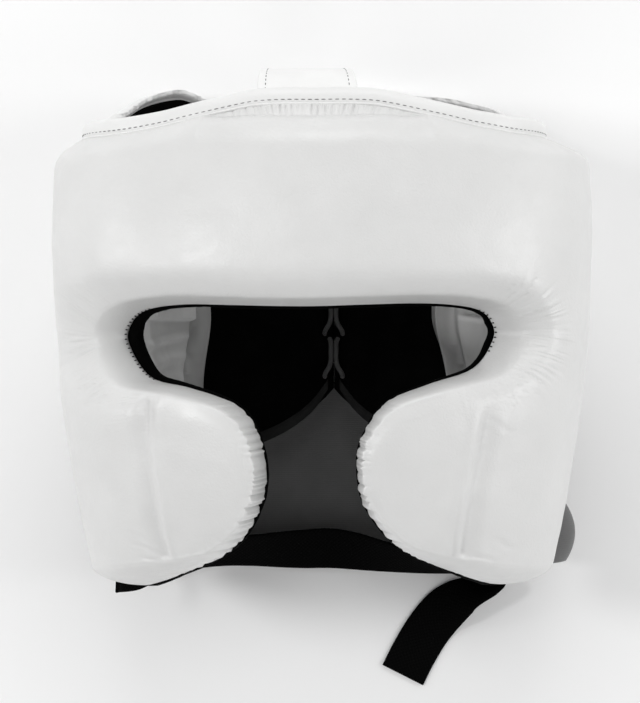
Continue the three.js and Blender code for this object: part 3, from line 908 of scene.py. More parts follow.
@dataclass(frozen=True)
class StudioPaper:
    """Pale matt paper for the floor."""

    name: str
    colour: Colour = grey(0.9)

    def build(self) -> bpy.types.Material:
        """Make the material."""
        shader = Shader(self.name)
        fleck = shader.noise(shader.place(), 900.0, 2.0)
        pale = shader.blend(fleck, self.colour, tuple(0.985 * c for c in self.colour))
        shader.set(shader.surface, {"Base Color": pale, "Roughness": 0.9, "Specular IOR Level": 0.1})
        return shader.material


class Finishes:
    """All finishes of the guard, made once."""

    def __init__(self) -> None:
        """Make the materials."""
        self.leather = Leather("white_leather").build()
        self.strap_leather = Leather("strap_leather", (0.8, 0.8, 0.795), (0.76, 0.76, 0.755), 0.42).build()
        self.binding_leather = Leather(
            "binding_leather", (0.75, 0.75, 0.745), (0.71, 0.71, 0.705), 0.4
        ).build()
        # The ear pockets' leather; shade is painted on their rolls through the "roll" attribute.
        self.inner_leather = Leather(
            "inner_leather", (0.7, 0.7, 0.695), (0.6, 0.6, 0.595), 0.5, 900.0, painted_roll_shade=0.3
        ).build()
        self.lining = NappedLining("black_lining").build()
        self.elastic = RibbedElastic("grey_elastic").build()
        self.webbing = Webbing("black_webbing").build()
        # A white lace, coloured dark grey as painted shade.
        self.lace = Braid("dark_lace").build()
        self.edge_tape = NappedLining("dark_edge_tape", grey(0.011), grey(0.02)).build()
        self.grey_thread = Thread("grey_thread", grey(0.1), grey(0.28)).build()
        self.black_thread = Thread("black_thread", grey(0.002), grey(0.006)).build()


# Pieces


@dataclass
class Stitching:
    """A row of short stitches, copied from one stitch along a line."""

    length: float = 2.0
    width: float = 0.55
    sunk: float = 0.1

    def pattern(self) -> tuple[Array, list[list[int]]]:
        """Model one stitch lying along X.

        Returns:
            Its points in millimetres and its faces, sorted, since the primitive has no fixed order.
        """
        bpy.ops.object.select_all(action="DESELECT")
        bpy.ops.mesh.primitive_uv_sphere_add(segments=8, ring_count=6, radius=0.5)
        bpy.ops.object.mode_set(mode="EDIT")
        bpy.ops.mesh.select_all(action="SELECT")
        bpy.ops.transform.rotate(value=math.pi / 2, orient_axis="Y", center_override=(0, 0, 0))
        bpy.ops.transform.resize(value=(self.length, self.width, self.width), center_override=(0, 0, 0))
        bpy.ops.object.mode_set(mode="OBJECT")
        stitch = bpy.context.object
        points = np.array([v.co for v in stitch.data.vertices])
        order = np.lexsort(points.round(4).T)
        rank = np.argsort(order).tolist()
        rings = [[rank[v] for v in face.vertices] for face in stitch.data.polygons]
        faces = sorted(ring[ring.index(min(ring)) :] + ring[: ring.index(min(ring))] for ring in rings)
        mesh = stitch.data
        bpy.data.objects.remove(stitch)
        bpy.data.meshes.remove(mesh)
        return points[order], faces

    def row(self, name: str, middles: Array, along: Array, out: Array) -> bpy.types.Object:
        """Copy the stitch along a row.

        Args:
            name: The row's name.
            middles: Middles of the stitches on the surface, (n, 3).
            along: Directions of the stitches, (n, 3).
            out: Directions out of the surface, (n, 3).

        Returns:
            One object with all stitches of the row.
        """
        points, faces = self.pattern()
        along, out = unit(along), unit(out)
        across = unit(np.cross(out, along))
        out = np.cross(along, across)
        frames = np.stack([along, across, out], 1)
        placed = middles[:, None] - self.sunk * out[:, None] + np.einsum("pk,nkc->npc", points, frames)
        every = [[v + i * len(points) for v in face] for i in range(len(middles)) for face in faces]
        return make_piece(name, placed.reshape(-1, 3), every)


def spaced(path: Array, pitch: float, margin: float = 0.0) -> tuple[Array, Array]:
    """Points at equal distances along a path.

    Args:
        path: Points, (n, 3).
        pitch: Distance between two points.
        margin: Length left free at both ends.

    Returns:
        The points and the fractional indices of the path where they lie.
    """
    along = lengths_along(path)
    count = max(int((along[-1] - 2 * margin) / pitch), 1)
    where = np.linspace(margin, along[-1] - margin, count + 1)
    index = np.interp(where, along, np.arange(len(path)))
    return read_between(path, index), index


@dataclass
class FacePad:
    """The padded leather over brow, temples and cheeks, with its hems, gathers and folds."""

    form: GuardForm
    edge: OpeningEdge
    # the mesh: columns between two keys of the opening, rows of the edge and beyond it, inner grid's steps
    columns_per_key: tuple[int, ...] = (16, 26, 40, 40, 40, 36, 30, 24, 56, 36, 32, 30, 28, 56, 76)
    edge_rows: int = 26
    edge_reach: float = 1.2  # how many rolls wide the edge's rows are
    edge_crowding: float = 0.6
    rows: int = 96
    inner_stride: tuple[int, int] = (4, 5)
    # the rise from the edges
    steep_softness: float = 0.2
    softness: float = 0.3
    full_between: tuple[float, float] = (10.0, 40.0)
    top_roll: float = 15.0
    top_slope: float = 9.0
    top_slope_share: float = 0.35
    rear_roll: float = 18.0
    rim_edge: float = 0.16
    thinnest: float = 0.6
    # the low ledge under the middle of the binding
    ledge: float = 6.3
    ledge_least: float = 0.01
    ledge_half: float = 54.0
    ledge_fade: tuple[float, float] = (48.0, 68.0)
    ledge_rise: float = 0.14
    ledge_squareness: float = 2.2
    # spacing, length of the line, seed and contrast of the coarse and the fine gathers
    hem_gathers: tuple = ((5.0, 1400, 11, 1.6), (1.9, 1400, 12, 1.6))
    slot_gathers: tuple = ((1.9, 1400, 21, 2.5), (0.9, 1400, 22, 2.0))
    rim_gathers: tuple = ((4.4, 700, 31, 1.8), (1.7, 700, 32, 1.6))
    hem_depth: float = 0.42
    hem_reach: float = 2.6
    ridge: float = 0.5
    ridge_place: float = 1.15  # in rolls from the edge
    ridge_width: float = 0.9
    scallop: float = 2.0
    scallop_reach: float = 3.0
    wrinkle_depth: float = 1.5
    left_wrinkles: float = 0.8  # their depth on the left as a share of the right's
    wrinkle_middle: tuple[float, float] = (11.0, 9.5)  # distance from the edge, left and right
    wrinkle_widths: tuple[float, float] = (7.5, 6.0)  # of the coarse and the fine ones
    wrinkle_start: tuple[float, float] = (0.5, 4.0)
    wander: float = 0.35
    rim_depth: float = 2.0
    rim_reach: float = 5.0
    rim_fade: tuple[float, float] = (38.0, 62.0)
    rim_slant: float = 0.55 / 40
    # depth, size and seed of the skin's unevenness
    bumps: tuple = ((0.45, 26.0, 3.1), (0.16, 9.0, 8.7))
    thinnest_skin: float = 0.5
    skin: float = 24.0
    # side, points of each fold from top to bottom as seen from the front, depth, width on its outer side
    # and on its inner side
    folds: tuple = (
        (
            Side.LEFT,
            (
                (73.4, -14), (73.3, -40.5), (72.2, -52.4), (70.4, -67.3), (69.2, -82.1),
                (66, -95.5), (64.4, -101),
            ),
            1.7, 3.2, 1.7,
        ),
        (
            Side.RIGHT,
            (
                (77, -22), (75.1, -33.1), (73.5, -43.4), (70.6, -58.3), (68.1, -73.1),
                (66.6, -85.1), (65.8, -98),
            ),
            1.9, 3.2, 1.8,
        ),
    )
    fold_foot: float = 8.0
    fold_head: float = 14.0
    folds_start: tuple[float, float] = (2.0, 8.0)  # distance from the edge
    beside: float = 2.2  # how far the ridges lie beside a groove, in its widths
    hollow_depth: float = 0.7
    hollow_width: float = 11.0
    hollow_shift: float = 3.0
    hollow_head: float = 26.0
    # side, points, depth and width of smaller creases
    creases: tuple = (
        (Side.RIGHT, ((65.4, -94.7), (69.8, -92.3), (75.7, -93.4), (81.8, -96.6)), 0.26, 1.0),
        (Side.RIGHT, ((77, -29), (81, -33), (85.5, -38)), 0.22, 1.0),
        (Side.RIGHT, ((80, -84), (84, -88), (89, -91)), 0.25, 1.2),
        (Side.LEFT, ((66.9, -93.8), (75, -90), (83.6, -87.1)), 0.28, 0.8),
        (Side.LEFT, ((66.9, -96.5), (73, -95), (80.4, -93.8)), 0.3, 0.8),
        (Side.LEFT, ((69.2, -89.3), (77, -85), (84.9, -81.2)), 0.22, 0.8),
    )
    crease_box: float = 30.0  # half the size of the square round a crease that it is worked out in
    crease_ridge: float = 0.4

    def pattern(self) -> tuple[Array, Array]:
        """Columns along the opening, and their places on the flat pattern out to the outer edge."""
        stretches = [np.linspace(i, i + 1, n, endpoint=False) for i, n in enumerate(self.columns_per_key)]
        half = np.concatenate(stretches) / (2 * len(self.columns_per_key))
        at = np.concatenate([half, [0.5], 1 - half[::-1]])
        start, end = self.form.opening(at), self.form.outer_edge(at)
        length = np.linalg.norm(end - start, axis=1)[:, None]
        roll = self.form.edge_shape(self.form.key_at(at), np.where(at <= 0.5, -1, 1))[0][:, None]
        part = np.linspace(0, 1, self.edge_rows + 1)[None, :]
        crowded = self.edge_crowding * (1 - np.cos(part * np.pi / 2)) + (1 - self.edge_crowding) * part
        near = self.edge_reach * roll * crowded
        part = np.linspace(0, 1, self.rows + 1)[None, 1:]
        eased = 0.5 * part + 0.25 * (1 - np.cos(np.pi * part))
        far = near[:, -1:] + (length - near[:, -1:]) * eased
        row = (np.concatenate([near, far], 1) / length)[..., None]
        return at, start[:, None] * (1 - row) + end[:, None] * row

    def fold_relief(self, place: Array) -> Array:
        """Depth of the long folds down the cheeks, with ridges beside them and a shallow hollow."""
        x, y = place[..., 0], place[..., 1]
        relief = np.zeros(x.shape)
        for side, seen, depth, outer, inner in self.folds:
            points = np.array(seen[::-1], float)
            line = self.form.pattern_place(points[:, 0], points[:, 1], self.skin)
            inward = np.interp(y, line[:, 1], line[:, 0]) - side.value * x
            low, top = line[0, 1], line[-1, 1]
            ends = smooth_step(y, low, low + self.fold_foot) * (1 - smooth_step(y, top - self.fold_head, top))
            groove = np.where(inward < 0, bell(inward, outer), bell(inward, inner))
            ridges = 0.6 * bell(inward - self.beside * inner, 1.1 * inner)
            ridges += 0.3 * bell(inward + self.beside * outer, 0.7 * outer)
            hollow = self.hollow_depth * bell(inward + self.hollow_shift, self.hollow_width)
            hollow *= 1 - smooth_step(y, top - self.hollow_head, top)
            relief += (side.value * x > 0) * ends * (depth * (groove - ridges) + hollow)
        return relief

    def crease_relief(self, place: Array) -> Array:
        """Depth of the smaller creases on the cheeks."""
        relief = np.zeros(place.shape[:-1])
        for side, seen, depth, width in self.creases:
            points = np.array(seen, float)
            line = self.form.pattern_place(side.value * points[:, 0], points[:, 1], self.skin)
            near = (np.abs(place - line.mean(0)) < self.crease_box).all(-1)
            distance, index = nearest_on_line(line, place[near])
            last = len(line) - 1
            ends = smooth_step(index, 0, 0.5) * (1 - smooth_step(index, last - 0.5, last))
            beside = bell(distance - self.beside * width, 1.2 * width)
            relief[near] += depth * (bell(distance, width) - self.crease_ridge * beside) * ends
        return relief

    def thickness(self, place: Array) -> Array:
        """How thick the pad is at places of the flat pattern, with all its folds.

        Args:
            place: Places, (..., 2).

        Returns:
            Thicknesses in millimetres.
        """
        form = self.form
        angle = form.angle_at(place[..., 0])
        level = form.levels(place[..., 1])
        facing = np.maximum(np.cos(angle), 0) ** 2
        side_full, front_full = level[..., 0] - level[..., 1], level[..., 2] - level[..., 3]
        full = side_full * (1 - facing) + front_full * facing - form.PAD_EDGE
        distance, along, key = self.edge.nearest(place)
        side = np.sign(place[..., 0])
        roll, straight, share, band = form.edge_shape(key, side)
        steep = (1 - straight) * quarter_round(distance / roll)
        steep += straight * shouldered(distance / roll, self.steep_softness)
        rise = (1 - share) * steep + share * shouldered(distance / band, self.softness)
        rise += (1 - rise) * smooth_step(distance, *self.full_between)
        below_rim = form.rim(angle) - place[..., 1]
        to_rear = form.rear_length - np.abs(place[..., 0])
        body = rise * self.rise_top(below_rim, place[..., 0]) * quarter_round(to_rear / self.rear_roll)
        relief = self.fold_relief(place) + self.crease_relief(place)
        thick = form.PAD_EDGE + full * body - relief * smooth_step(distance, *self.folds_start) * body
        ridge = self.ridge * bell(distance - self.ridge_place * roll, self.ridge_width)
        thick += form.along_keys("hem", key) * ridge
        thick += self.hem_relief(distance, along, key, roll)
        thick += self.slot_relief(distance, along, key, side)
        thick += self.rim_relief(below_rim, place[..., 0])
        return np.maximum(thick, self.thinnest)

    def rise_top(self, below_rim: Array, length: Array) -> Array:
        """How the pad rises from its top edge, over a low ledge under the middle of the binding."""
        plain = (1 - self.top_slope_share) * quarter_round(below_rim / self.top_roll)
        plain += self.top_slope_share * shouldered(below_rim / self.top_slope, self.softness)
        wide = self.ledge * np.sqrt(np.maximum(1 - (length / self.ledge_half) ** 2, 0)) + self.ledge_least
        step = self.ledge_rise * np.clip(below_rim / wide, 0, 1)
        past_ledge = (below_rim - wide) / self.top_roll
        step += (1 - self.ledge_rise) * quarter_round(past_ledge, self.ledge_squareness)
        middle = 1 - smooth_step(np.abs(length), *self.ledge_fade)
        return self.rim_edge + (1 - self.rim_edge) * (middle * step + (1 - middle) * plain)

    def hem_folds(self, along: Array) -> tuple[Array, Array]:
        """Gathers of the hem by the place along the edge, with their reach."""
        (coarse, reach), (fine, _) = (Gathers(*row)(along) for row in self.hem_gathers)
        return 1.2 * coarse + (0.45 + 0.35 * np.sin(along / 9.0)) * fine, reach

    def hem_relief(self, distance: Array, along: Array, key: Array, roll: Array) -> Array:
        """Gathers of the hem that run on over the edge of the cheek."""
        folds, reach = self.hem_folds(along)
        window = bell(distance - roll, self.hem_reach * reach)
        return self.hem_depth * self.form.along_keys("hem", key) * folds * window

    def scalloped(self, at: Array, place: Array) -> Array:
        """Move places near the edge in and out with the gathers of the hem."""
        folds, _ = self.hem_folds(self.edge.along_at(at))
        lip = self.scallop * self.form.along_keys("hem", self.form.key_at(at)) * folds
        shift = self.form.opening(at, lip) - place[:, 0]
        away = np.linalg.norm(place - place[:, :1], axis=-1)
        return place + shift[:, None] * bell(away, self.scallop_reach)[..., None]

    def slot_relief(self, distance: Array, along: Array, key: Array, side: Array) -> Array:
        """Wrinkles that spread from the ends of the eye slot over its shoulder."""
        share = self.form.along_keys("funnel", key) * np.where(side > 0, 1.0, self.left_wrinkles)
        wander = self.wander * np.sin(distance / 5.0 + along / 3.0)
        coarse_row, fine_row = self.slot_gathers
        coarse, reach = Gathers(*coarse_row)(along + wander)
        fine, fine_reach = Gathers(*fine_row)(along + 0.6 * wander)
        left, right = self.wrinkle_middle
        middle = np.where(side > 0, right, left)
        coarse_width, fine_width = self.wrinkle_widths
        folds = coarse * bell(distance - middle * (0.6 + 0.4 * reach), coarse_width)
        folds += 0.5 * fine * bell(distance - middle * (0.5 + 0.5 * fine_reach), fine_width)
        return self.wrinkle_depth * share * folds * smooth_step(distance, *self.wrinkle_start)

    def rim_relief(self, below_rim: Array, length: Array) -> Array:
        """Gathers under the binding, strongest on the ledge over the brow."""
        share = 0.1 + 0.9 * (1 - smooth_step(np.abs(length), *self.rim_fade))
        slant = length + self.rim_slant * length * below_rim
        (coarse, reach), (fine, fine_reach) = (Gathers(*row)(slant) for row in self.rim_gathers)
        folds = coarse * smooth_step(below_rim, 0, 1.0) * bell(below_rim, self.rim_reach * reach)
        folds += 0.6 * fine * smooth_step(below_rim, 0, 0.8) * bell(below_rim, self.rim_reach * fine_reach)
        return self.rim_depth * share * folds

    def build(self, finishes: Finishes) -> bpy.types.Object:
        """Make the pad and its finish.

        Args:
            finishes: The guard's finishes.

        Returns:
            The pad.
        """
        at, place = self.pattern()
        thick = self.thickness(place)
        place = self.scalloped(at, place)
        skin = self.form.wall_at(place, thick)
        for depth, size, seed in self.bumps:
            thick += depth * unevenness(skin, size, seed)
        skin = self.form.wall_at(place, np.maximum(thick, self.thinnest_skin))
        points, faces = closed_shell(skin, self.form.wall_at(place, 0.0), self.inner_stride)
        pad = make_piece("face_pad_leather", points, faces)
        dress(pad, finishes.leather, "white_leather", "face_pad")
        return pad


@dataclass
class FaceLining:
    """The black lining inside the face pad, which stands out as a thin lip round the opening."""

    form: GuardForm
    thickness: float = 4.6
    behind_wall: float = 0.3
    whip_pitch: float = 2.4
    columns: int = 480
    # places of the rows from the opening's edge to the outer edge, and the thickness of the first ones
    row_places: tuple = (0, 0.006, 0.02, 0.06, 0.12, 0.2, 0.3, 0.4, 0.5, 0.6, 0.7, 0.8, 0.9, 0.97, 1)
    edge_shares: tuple[float, ...] = (0.5, 0.8, 1)
    # stretches of the opening's edge that are whip stitched, at the left and right ends of the slot
    whipped: tuple = ((0.262, 0.372), (0.635, 0.715))
    whip_samples: int = 200

    def build(self, finishes: Finishes) -> bpy.types.Object:
        """Make the lining and the small stitches that hold it at the slot's ends."""
        form = self.form
        at = np.linspace(0, 1, self.columns + 1)
        random = np.random.default_rng(5)
        wobble = np.convolve(random.normal(0, 0.45, len(at)), np.ones(5) / 5, "same")
        key = form.key_at(at)
        lip = form.along_keys("lip", key) + np.where(at < 0.5, form.along_keys("left_lip", key), 0)
        lip = np.convolve(np.pad(lip, 12, "edge"), np.ones(25) / 25, "valid")
        start, end = form.opening(at, lip + 0.5 * wobble), form.outer_edge(at)
        row = np.array(self.row_places)
        edge = np.array([*self.edge_shares, *np.ones(len(row) - len(self.edge_shares))])
        place = start[:, None] * (1 - row)[None, :, None] + end[:, None] * row[None, :, None]
        middle, half = -self.behind_wall - self.thickness / 2, self.thickness / 2 * edge
        points, faces = closed_shell(form.wall_at(place, middle + half), form.wall_at(place, middle - half))
        lining = make_piece("face_lining_nap", points, faces)
        dress(lining, finishes.lining, "black_lining", "face_lining")
        self.whip_stitches(finishes)
        return lining

    def whip_stitches(self, finishes: Finishes) -> bpy.types.Object:
        """Sew the lining to the pad with short stitches over the edge at the slot's ends."""
        form = self.form
        ends = []
        for low, high in self.whipped:
            at = np.linspace(low, high, self.whip_samples)
            _, index = spaced(form.wall_at(form.opening(at), form.PAD_EDGE), self.whip_pitch)
            ends.append(np.interp(index, np.arange(self.whip_samples), at))
        at = np.concatenate(ends)
        jitter = np.random.default_rng(8).uniform(-4e-4, 4e-4, len(at))
        inner, outer = self.off_edge(at, 0.5, 0.9), self.off_edge(at + jitter, 0.15, 2.1)
        along = self.off_edge(at + 1e-3, 0.3, 1.5) - self.off_edge(at - 1e-3, 0.3, 1.5)
        out = np.cross(along, outer - inner)
        out *= np.sign(out[:, 2:3])
        length = float(np.linalg.norm(outer - inner, axis=1).mean())
        stitching = Stitching(length=length, width=0.65, sunk=0.0)
        stitches = stitching.row("slot_whip_stitches", (inner + outer) / 2, outer - inner, out)
        return dress(stitches, finishes.black_thread, "black_lining")

    def off_edge(self, at: Array, lip: float, offset: float) -> Array:
        """Points by the opening's edge, some way into it and outside the wall."""
        return self.form.wall_at(self.form.opening(at, lip), offset)


@dataclass
class BrowBinding:
    """The leather binding over the top edge, with its piping and its row of stitches."""

    form: GuardForm
    steps: int = 420
    # section of the binding as distance outside the wall and height over the pad's edge
    section: tuple = (
        (4.5, 0.1), (4.9, 1.2), (5.0, 2.6), (4.95, 4.4), (4.6, 6.0), (3.7, 7.2), (2.2, 7.9),
        (0.0, 8.15), (-2.6, 8.1), (-4.6, 7.5), (-5.9, 6.3), (-6.2, 4.4), (-6.2, 2.0), (-6.0, 0.3),
        (-3.0, 0.4), (1.5, 0.3),
    )
    piping_radius: float = 0.7
    piping_place: tuple[float, float] = (4.95, 0.1)
    seam_offset: float = 4.98
    stitch_facing: float = 6.0  # offset of the line that the stitches face
    seam_margin: float = 3.0
    stitch_height: float = 2.0
    pitch: float = 3.1

    def line(self, offset: float, height: float) -> Array:
        """A line along the binding at a distance outside the wall and a height over the pad's edge."""
        end = self.form.REAR_ANGLE
        length = np.linspace(-self.form.rear_length, self.form.rear_length, self.steps + 1)
        angle = np.clip(self.form.angle_at(length), -end, end)
        return self.form.wall(angle, self.form.rim(angle) + height, offset)

    def build(self, finishes: Finishes) -> bpy.types.Object:
        """Make the binding, its piping and its stitches."""
        rings = np.stack([self.line(offset, height) for offset, height in self.section], 1)
        wobble = 0.22 * unevenness(rings, 14.0, 5.5)
        centre = rings.mean(1, keepdims=True)
        rings = rings + unit(rings - centre) * wobble[..., None]
        points, faces = swept(rings)
        binding = make_piece("brow_binding_leather", points, faces)
        dress(binding, finishes.binding_leather, "white_leather", "brow_binding")
        piping = make_piece("brow_piping", *swept(tube(self.line(*self.piping_place), self.piping_radius)))
        dress(piping, finishes.binding_leather, "white_leather")
        seam = self.line(self.seam_offset, self.stitch_height)
        middles, index = spaced(seam, self.pitch, self.seam_margin)
        out = read_between(self.line(self.stitch_facing, self.stitch_height) - seam, index)
        along = read_between(np.gradient(seam, axis=0), index)
        stitching = Stitching(length=2.1, width=0.5, sunk=0.05)
        stitches = stitching.row("brow_stitches", middles, along, out)
        dress(stitches, finishes.grey_thread, "white_leather")
        return binding


@dataclass
class Band:
    """A flat band along a line of points, with a direction across it at each."""

    path: Array
    across: Array
    width: Array
    thickness: float

    def frames(self) -> tuple[Array, Array]:
        """Directions across and out of the band."""
        along = unit(np.gradient(self.path, axis=0))
        across = unit(self.across - along * (self.across * along).sum(1, keepdims=True))
        return across, np.cross(along, across)

    def length(self) -> float:
        """The band's length in millimetres."""
        return float(lengths_along(self.path)[-1])

    def mesh(self, name: str) -> bpy.types.Object:
        """Make the band with round edges and texture places along and across it."""
        across, out = self.frames()
        section = band_section(float(self.width.mean()), self.thickness)
        share = section[:, 0] / self.width.mean()
        rings = (
            self.path[:, None]
            + (share[None, :, None] * self.width[:, None, None]) * across[:, None]
            + section[None, :, 1, None] * out[:, None]
        )
        return make_piece(name, *swept(rings), texture_places(lengths_along(self.path), section[:, 0]))


@dataclass
class CrownStrap:
    """The leather strap over the crown, stitched along both edges."""

    width: float = 47.0
    crown_width: float = 41.0
    rear_width: float = 30.0
    thickness: float = 2.5
    inset: float = 3.8
    pitch: float = 3.2
    margin: float = 4.0
    steps: int = 260
    # x, y and z of the middle line, from inside the brow over the crown to the left half of the back
    route: tuple = (
        (-4.5, 96, 184.4), (-4.5, 110, 182), (-4.8, 121, 178.6), (-6, 130.2, 166), (-8, 133.4, 138),
        (-10, 134.5, 108), (-13, 134.5, 72), (-17, 129, 38), (-23, 119, 19), (-26, 104, 14.6),
        (-26, 90, 14.3),
    )

    def band(self) -> Band:
        """The strap's middle line and width."""
        keys = np.array(self.route, float)
        chord = np.concatenate([[0], np.cumsum(np.sqrt(np.linalg.norm(np.diff(keys, axis=0), axis=1)))])
        at = np.linspace(0, chord[-1], self.steps + 1)
        path = TableCurve(np.column_stack([chord, keys]))(at)
        part = at / chord[-1]
        width = self.width + (self.crown_width - self.width) * smooth_step(part, 0.12, 0.4)
        width = width + (self.rear_width - width) * smooth_step(part, 0.5, 0.85)
        return Band(path, np.tile([1.0, 0.0, 0.0], (len(path), 1)), width, self.thickness)

    def build(self, finishes: Finishes) -> bpy.types.Object:
        """Make the strap and its two rows of stitches."""
        band = self.band()
        strap = band.mesh("crown_strap_leather")
        dress(strap, finishes.strap_leather, "white_leather", "crown_strap")
        across, out = band.frames()
        for side in Side:
            shift = side.value * (band.width / 2 - self.inset)
            for face, word in ((1, "inside"), (-1, "outside")):
                seam = band.path + across * shift[:, None] + face * out * (self.thickness / 2)
                middles, index = spaced(seam, self.pitch, self.margin)
                along = read_between(np.gradient(seam, axis=0), index)
                name = f"crown_strap_stitches_{side.word}_{word}"
                row = Stitching(2.0, 0.5, 0.05).row(name, middles, along, read_between(face * out, index))
                dress(row, finishes.grey_thread, "white_leather")
        band.length() * MM
        return strap


@dataclass
class ChinStrap:
    """The black webbing round the nape, whose free end lies on the floor."""

    width: float = 24.0
    thickness: float = 1.6
    steps: int = 520
    floor_gap: float = 0.1
    # x, y, lift off the floor and lean of the band, where 0 lies flat and 90 stands on its edge
    route: tuple = (
        (-108, -111, 60, 0), (-102, -111.2, 44, 4), (-93, -109, 26, 22), (-80, -106.6, 12, 40),
        (-62, -105.2, 3, 46), (-43, -104.8, 0, 44), (-18, -104.2, 0, 30), (2, -104, 0, 27),
        (28, -108, 0, 47), (50, -112, 0, 66), (68, -114.5, 0, 80), (83, -116.5, 0, 89),
        (89, -120.2, 0, 90), (84.5, -124, 0, 82), (72, -127.5, 0, 48), (59.5, -135, 0, 14),
        (50, -146, 0, 0), (42, -159, 0, 0), (36, -171, 0, 0),
    )

    def band(self) -> Band:
        """The strap's middle line, which rests one edge on the floor, and the way it leans."""
        keys = np.column_stack([np.arange(len(self.route)), np.array(self.route, float)])
        x, y, lift, lean = TableCurve(keys)(np.linspace(0, len(keys) - 1, self.steps + 1)).T
        lean = np.radians(np.maximum(lean, 0))
        rest = (self.width * np.sin(lean) + self.thickness * np.cos(lean)) / 2
        path = np.stack([x, y, rest + np.maximum(lift, 0) + self.floor_gap], 1)
        along = unit(np.gradient(path, axis=0))
        level = unit(np.stack([-along[:, 1], along[:, 0], np.zeros(len(along))], 1))
        raised = unit(np.cross(along, level))
        across = level * np.cos(lean)[:, None] + raised * np.sin(lean)[:, None]
        return Band(path, across, np.full(len(path), self.width), self.thickness)

    def build(self, finishes: Finishes) -> bpy.types.Object:
        """Make the strap with its woven finish."""
        band = self.band()
        strap = dress(band.mesh("chin_strap_webbing"), finishes.webbing, "black_webbing", "chin_strap")
        band.length() * MM
        return strap


@dataclass
class BackHalves:
    """The two padded halves of the back with their black linings and edge tapes."""

    form: GuardForm
    padding: float = 9.0
    lining: float = 3.0
    lace_gap: float = 3.0
    columns: int = 90
    rows: int = 120
    tape: float = 5.0
    edge_share: float = 0.3  # thickness at the edges as a share of the padding
    gathers: tuple = (3.4, 800, 41)  # spacing, length of the line and seed
    gather_slant: float = 0.2
    gather_reach: float = 3.0
    gather_depth: float = 0.9
    channel: tuple[float, float, float] = (15.0, 1.1, 1.3)  # place from the edge, depth and width
    bumps: tuple[float, float, float] = (0.35, 22.0, 2.2)  # depth, size and seed
    curl: float = 3.6  # how far the top edge curls in
    curl_fade: tuple[float, float] = (1.5, 5.0)
    thinned: float = 2.5  # how much thinner the top edge is outside
    thinned_fade: tuple[float, float] = (0.5, 7.0)
    lining_edge: float = 4.0
    lining_drop: float = 5.2  # how far the lining ends below the top edge
    behind_wall: float = 0.2
    # distance from the lace along the wall, low edge, top edge on the left, top edge on the right
    edges: tuple = (
        (0, -15, 128, 136), (11, -30, 128, 137.5), (22, -39, 128, 137), (38, -47, 128, 134.5),
        (62, -53, 129.4, 132), (73, -54.3, 133.8, 129.3), (83, -54.8, 136.4, 126.8), (96, -54.6, 134.3, 123),
        (111, -52.6, 129.8, 117.5), (125, -50.5, 124, 113), (150, -47, 116.2, 106),
    )

    def grid(self, side: Side) -> tuple[Array, Array, Array]:
        """Lengths along the wall, heights and edge distances of one half."""
        form = self.form
        length = np.linspace(form.rear_length + 0.3, form.back_length - self.lace_gap, self.columns + 1)
        low, left, right = np.moveaxis(TableCurve(self.edges)(form.back_length - length), -1, 0)
        top = side.of(left, right)
        row = (1 - np.cos(np.linspace(0, np.pi, self.rows + 1))) / 2
        y = low[:, None] + (top - low)[:, None] * row[None, :]
        length = np.broadcast_to(length[:, None], y.shape)
        edge = np.minimum(y - low[:, None], top[:, None] - y)
        edge = np.minimum(edge, form.back_length - self.lace_gap - length)
        return length, y, edge

    def build(self, finishes: Finishes) -> None:
        """Make both halves."""
        for side in Side:
            self.flap(side, finishes)
            self.inside(side, finishes)
            self.edge_tape(side, finishes)

    def flap(self, side: Side, finishes: Finishes) -> bpy.types.Object:
        """Make the padded leather of one half."""
        form = self.form
        length, y, edge = self.grid(side)
        angle = side.value * form.angle_at(length)
        round_edge = quarter_round(edge / self.padding)
        thick = self.padding * (self.edge_share + (1 - self.edge_share) * round_edge)
        gather, reach = Gathers(*self.gathers)(length + self.gather_slant * y)
        part = edge / (self.gather_reach * reach)
        thick += self.gather_depth * gather * part * np.exp(1 - part)
        channel_place, channel_depth, channel_width = self.channel
        thick -= channel_depth * bell(edge - channel_place, channel_width)
        depth, size, seed = self.bumps
        thick += depth * unevenness(form.wall(angle, y, thick), size, seed)
        top = y[:, -1:] - y
        curl = -self.curl * (1 - smooth_step(top, *self.curl_fade)) * (1 + 1.1 * gather)
        thick -= self.thinned * (1 - smooth_step(top, *self.thinned_fade))
        points, faces = closed_shell(form.wall(angle, y, thick), form.wall(angle, y, curl))
        flap = make_piece(f"back_flap_{side.word}_leather", points, faces)
        # The flaps are white leather; the paler strap leather on them paints extra light on their top rims,
        # which lie in shade.
        dress(flap, finishes.strap_leather, "white_leather", f"back_flap_{side.word}")
        return flap

    def inside(self, side: Side, finishes: Finishes) -> bpy.types.Object:
        """Make the black lining of one half."""
        form = self.form
        length, y, edge = (table[::2, ::2] for table in self.grid(side))
        by_lace = smooth_step(length, form.back_length - 12, form.back_length - 3)
        length = length + (self.lace_gap - 0.08) * by_lace
        y = np.minimum(y, y[:, -1:] - self.lining_drop)
        angle = side.value * form.angle_at(length)
        full = self.lining * (0.35 + 0.65 * quarter_round(edge / self.lining_edge))
        outer = form.wall(angle, y, -self.behind_wall)
        points, faces = closed_shell(outer, form.wall(angle, y, -self.behind_wall - full))
        lining = make_piece(f"back_lining_{side.word}_nap", points, faces)
        dress(lining, finishes.lining, "black_lining", f"back_lining_{side.word}")
        return lining

    def edge_tape(self, side: Side, finishes: Finishes) -> bpy.types.Object:
        """Make the dark tape that binds the lower edge of one half."""
        form = self.form
        length, y, _ = self.grid(side)
        length, low = length[:, 0], y[:, 0]
        angle = side.value * form.angle_at(length)
        inner = -0.4 - self.lining
        section = ((1.0, -0.6), (inner * 0.5, -1.0), (inner, -0.5), (inner - 0.5, self.tape * 0.5),
                   (inner - 0.2, self.tape), (inner + 0.6, self.tape), (-0.4, 0.6))
        rings = np.stack([form.wall(angle, low + height, offset) for offset, height in section], 1)
        tape = make_piece(f"back_edge_tape_{side.word}", *swept(rings))
        return dress(tape, finishes.edge_tape, "black_lining")


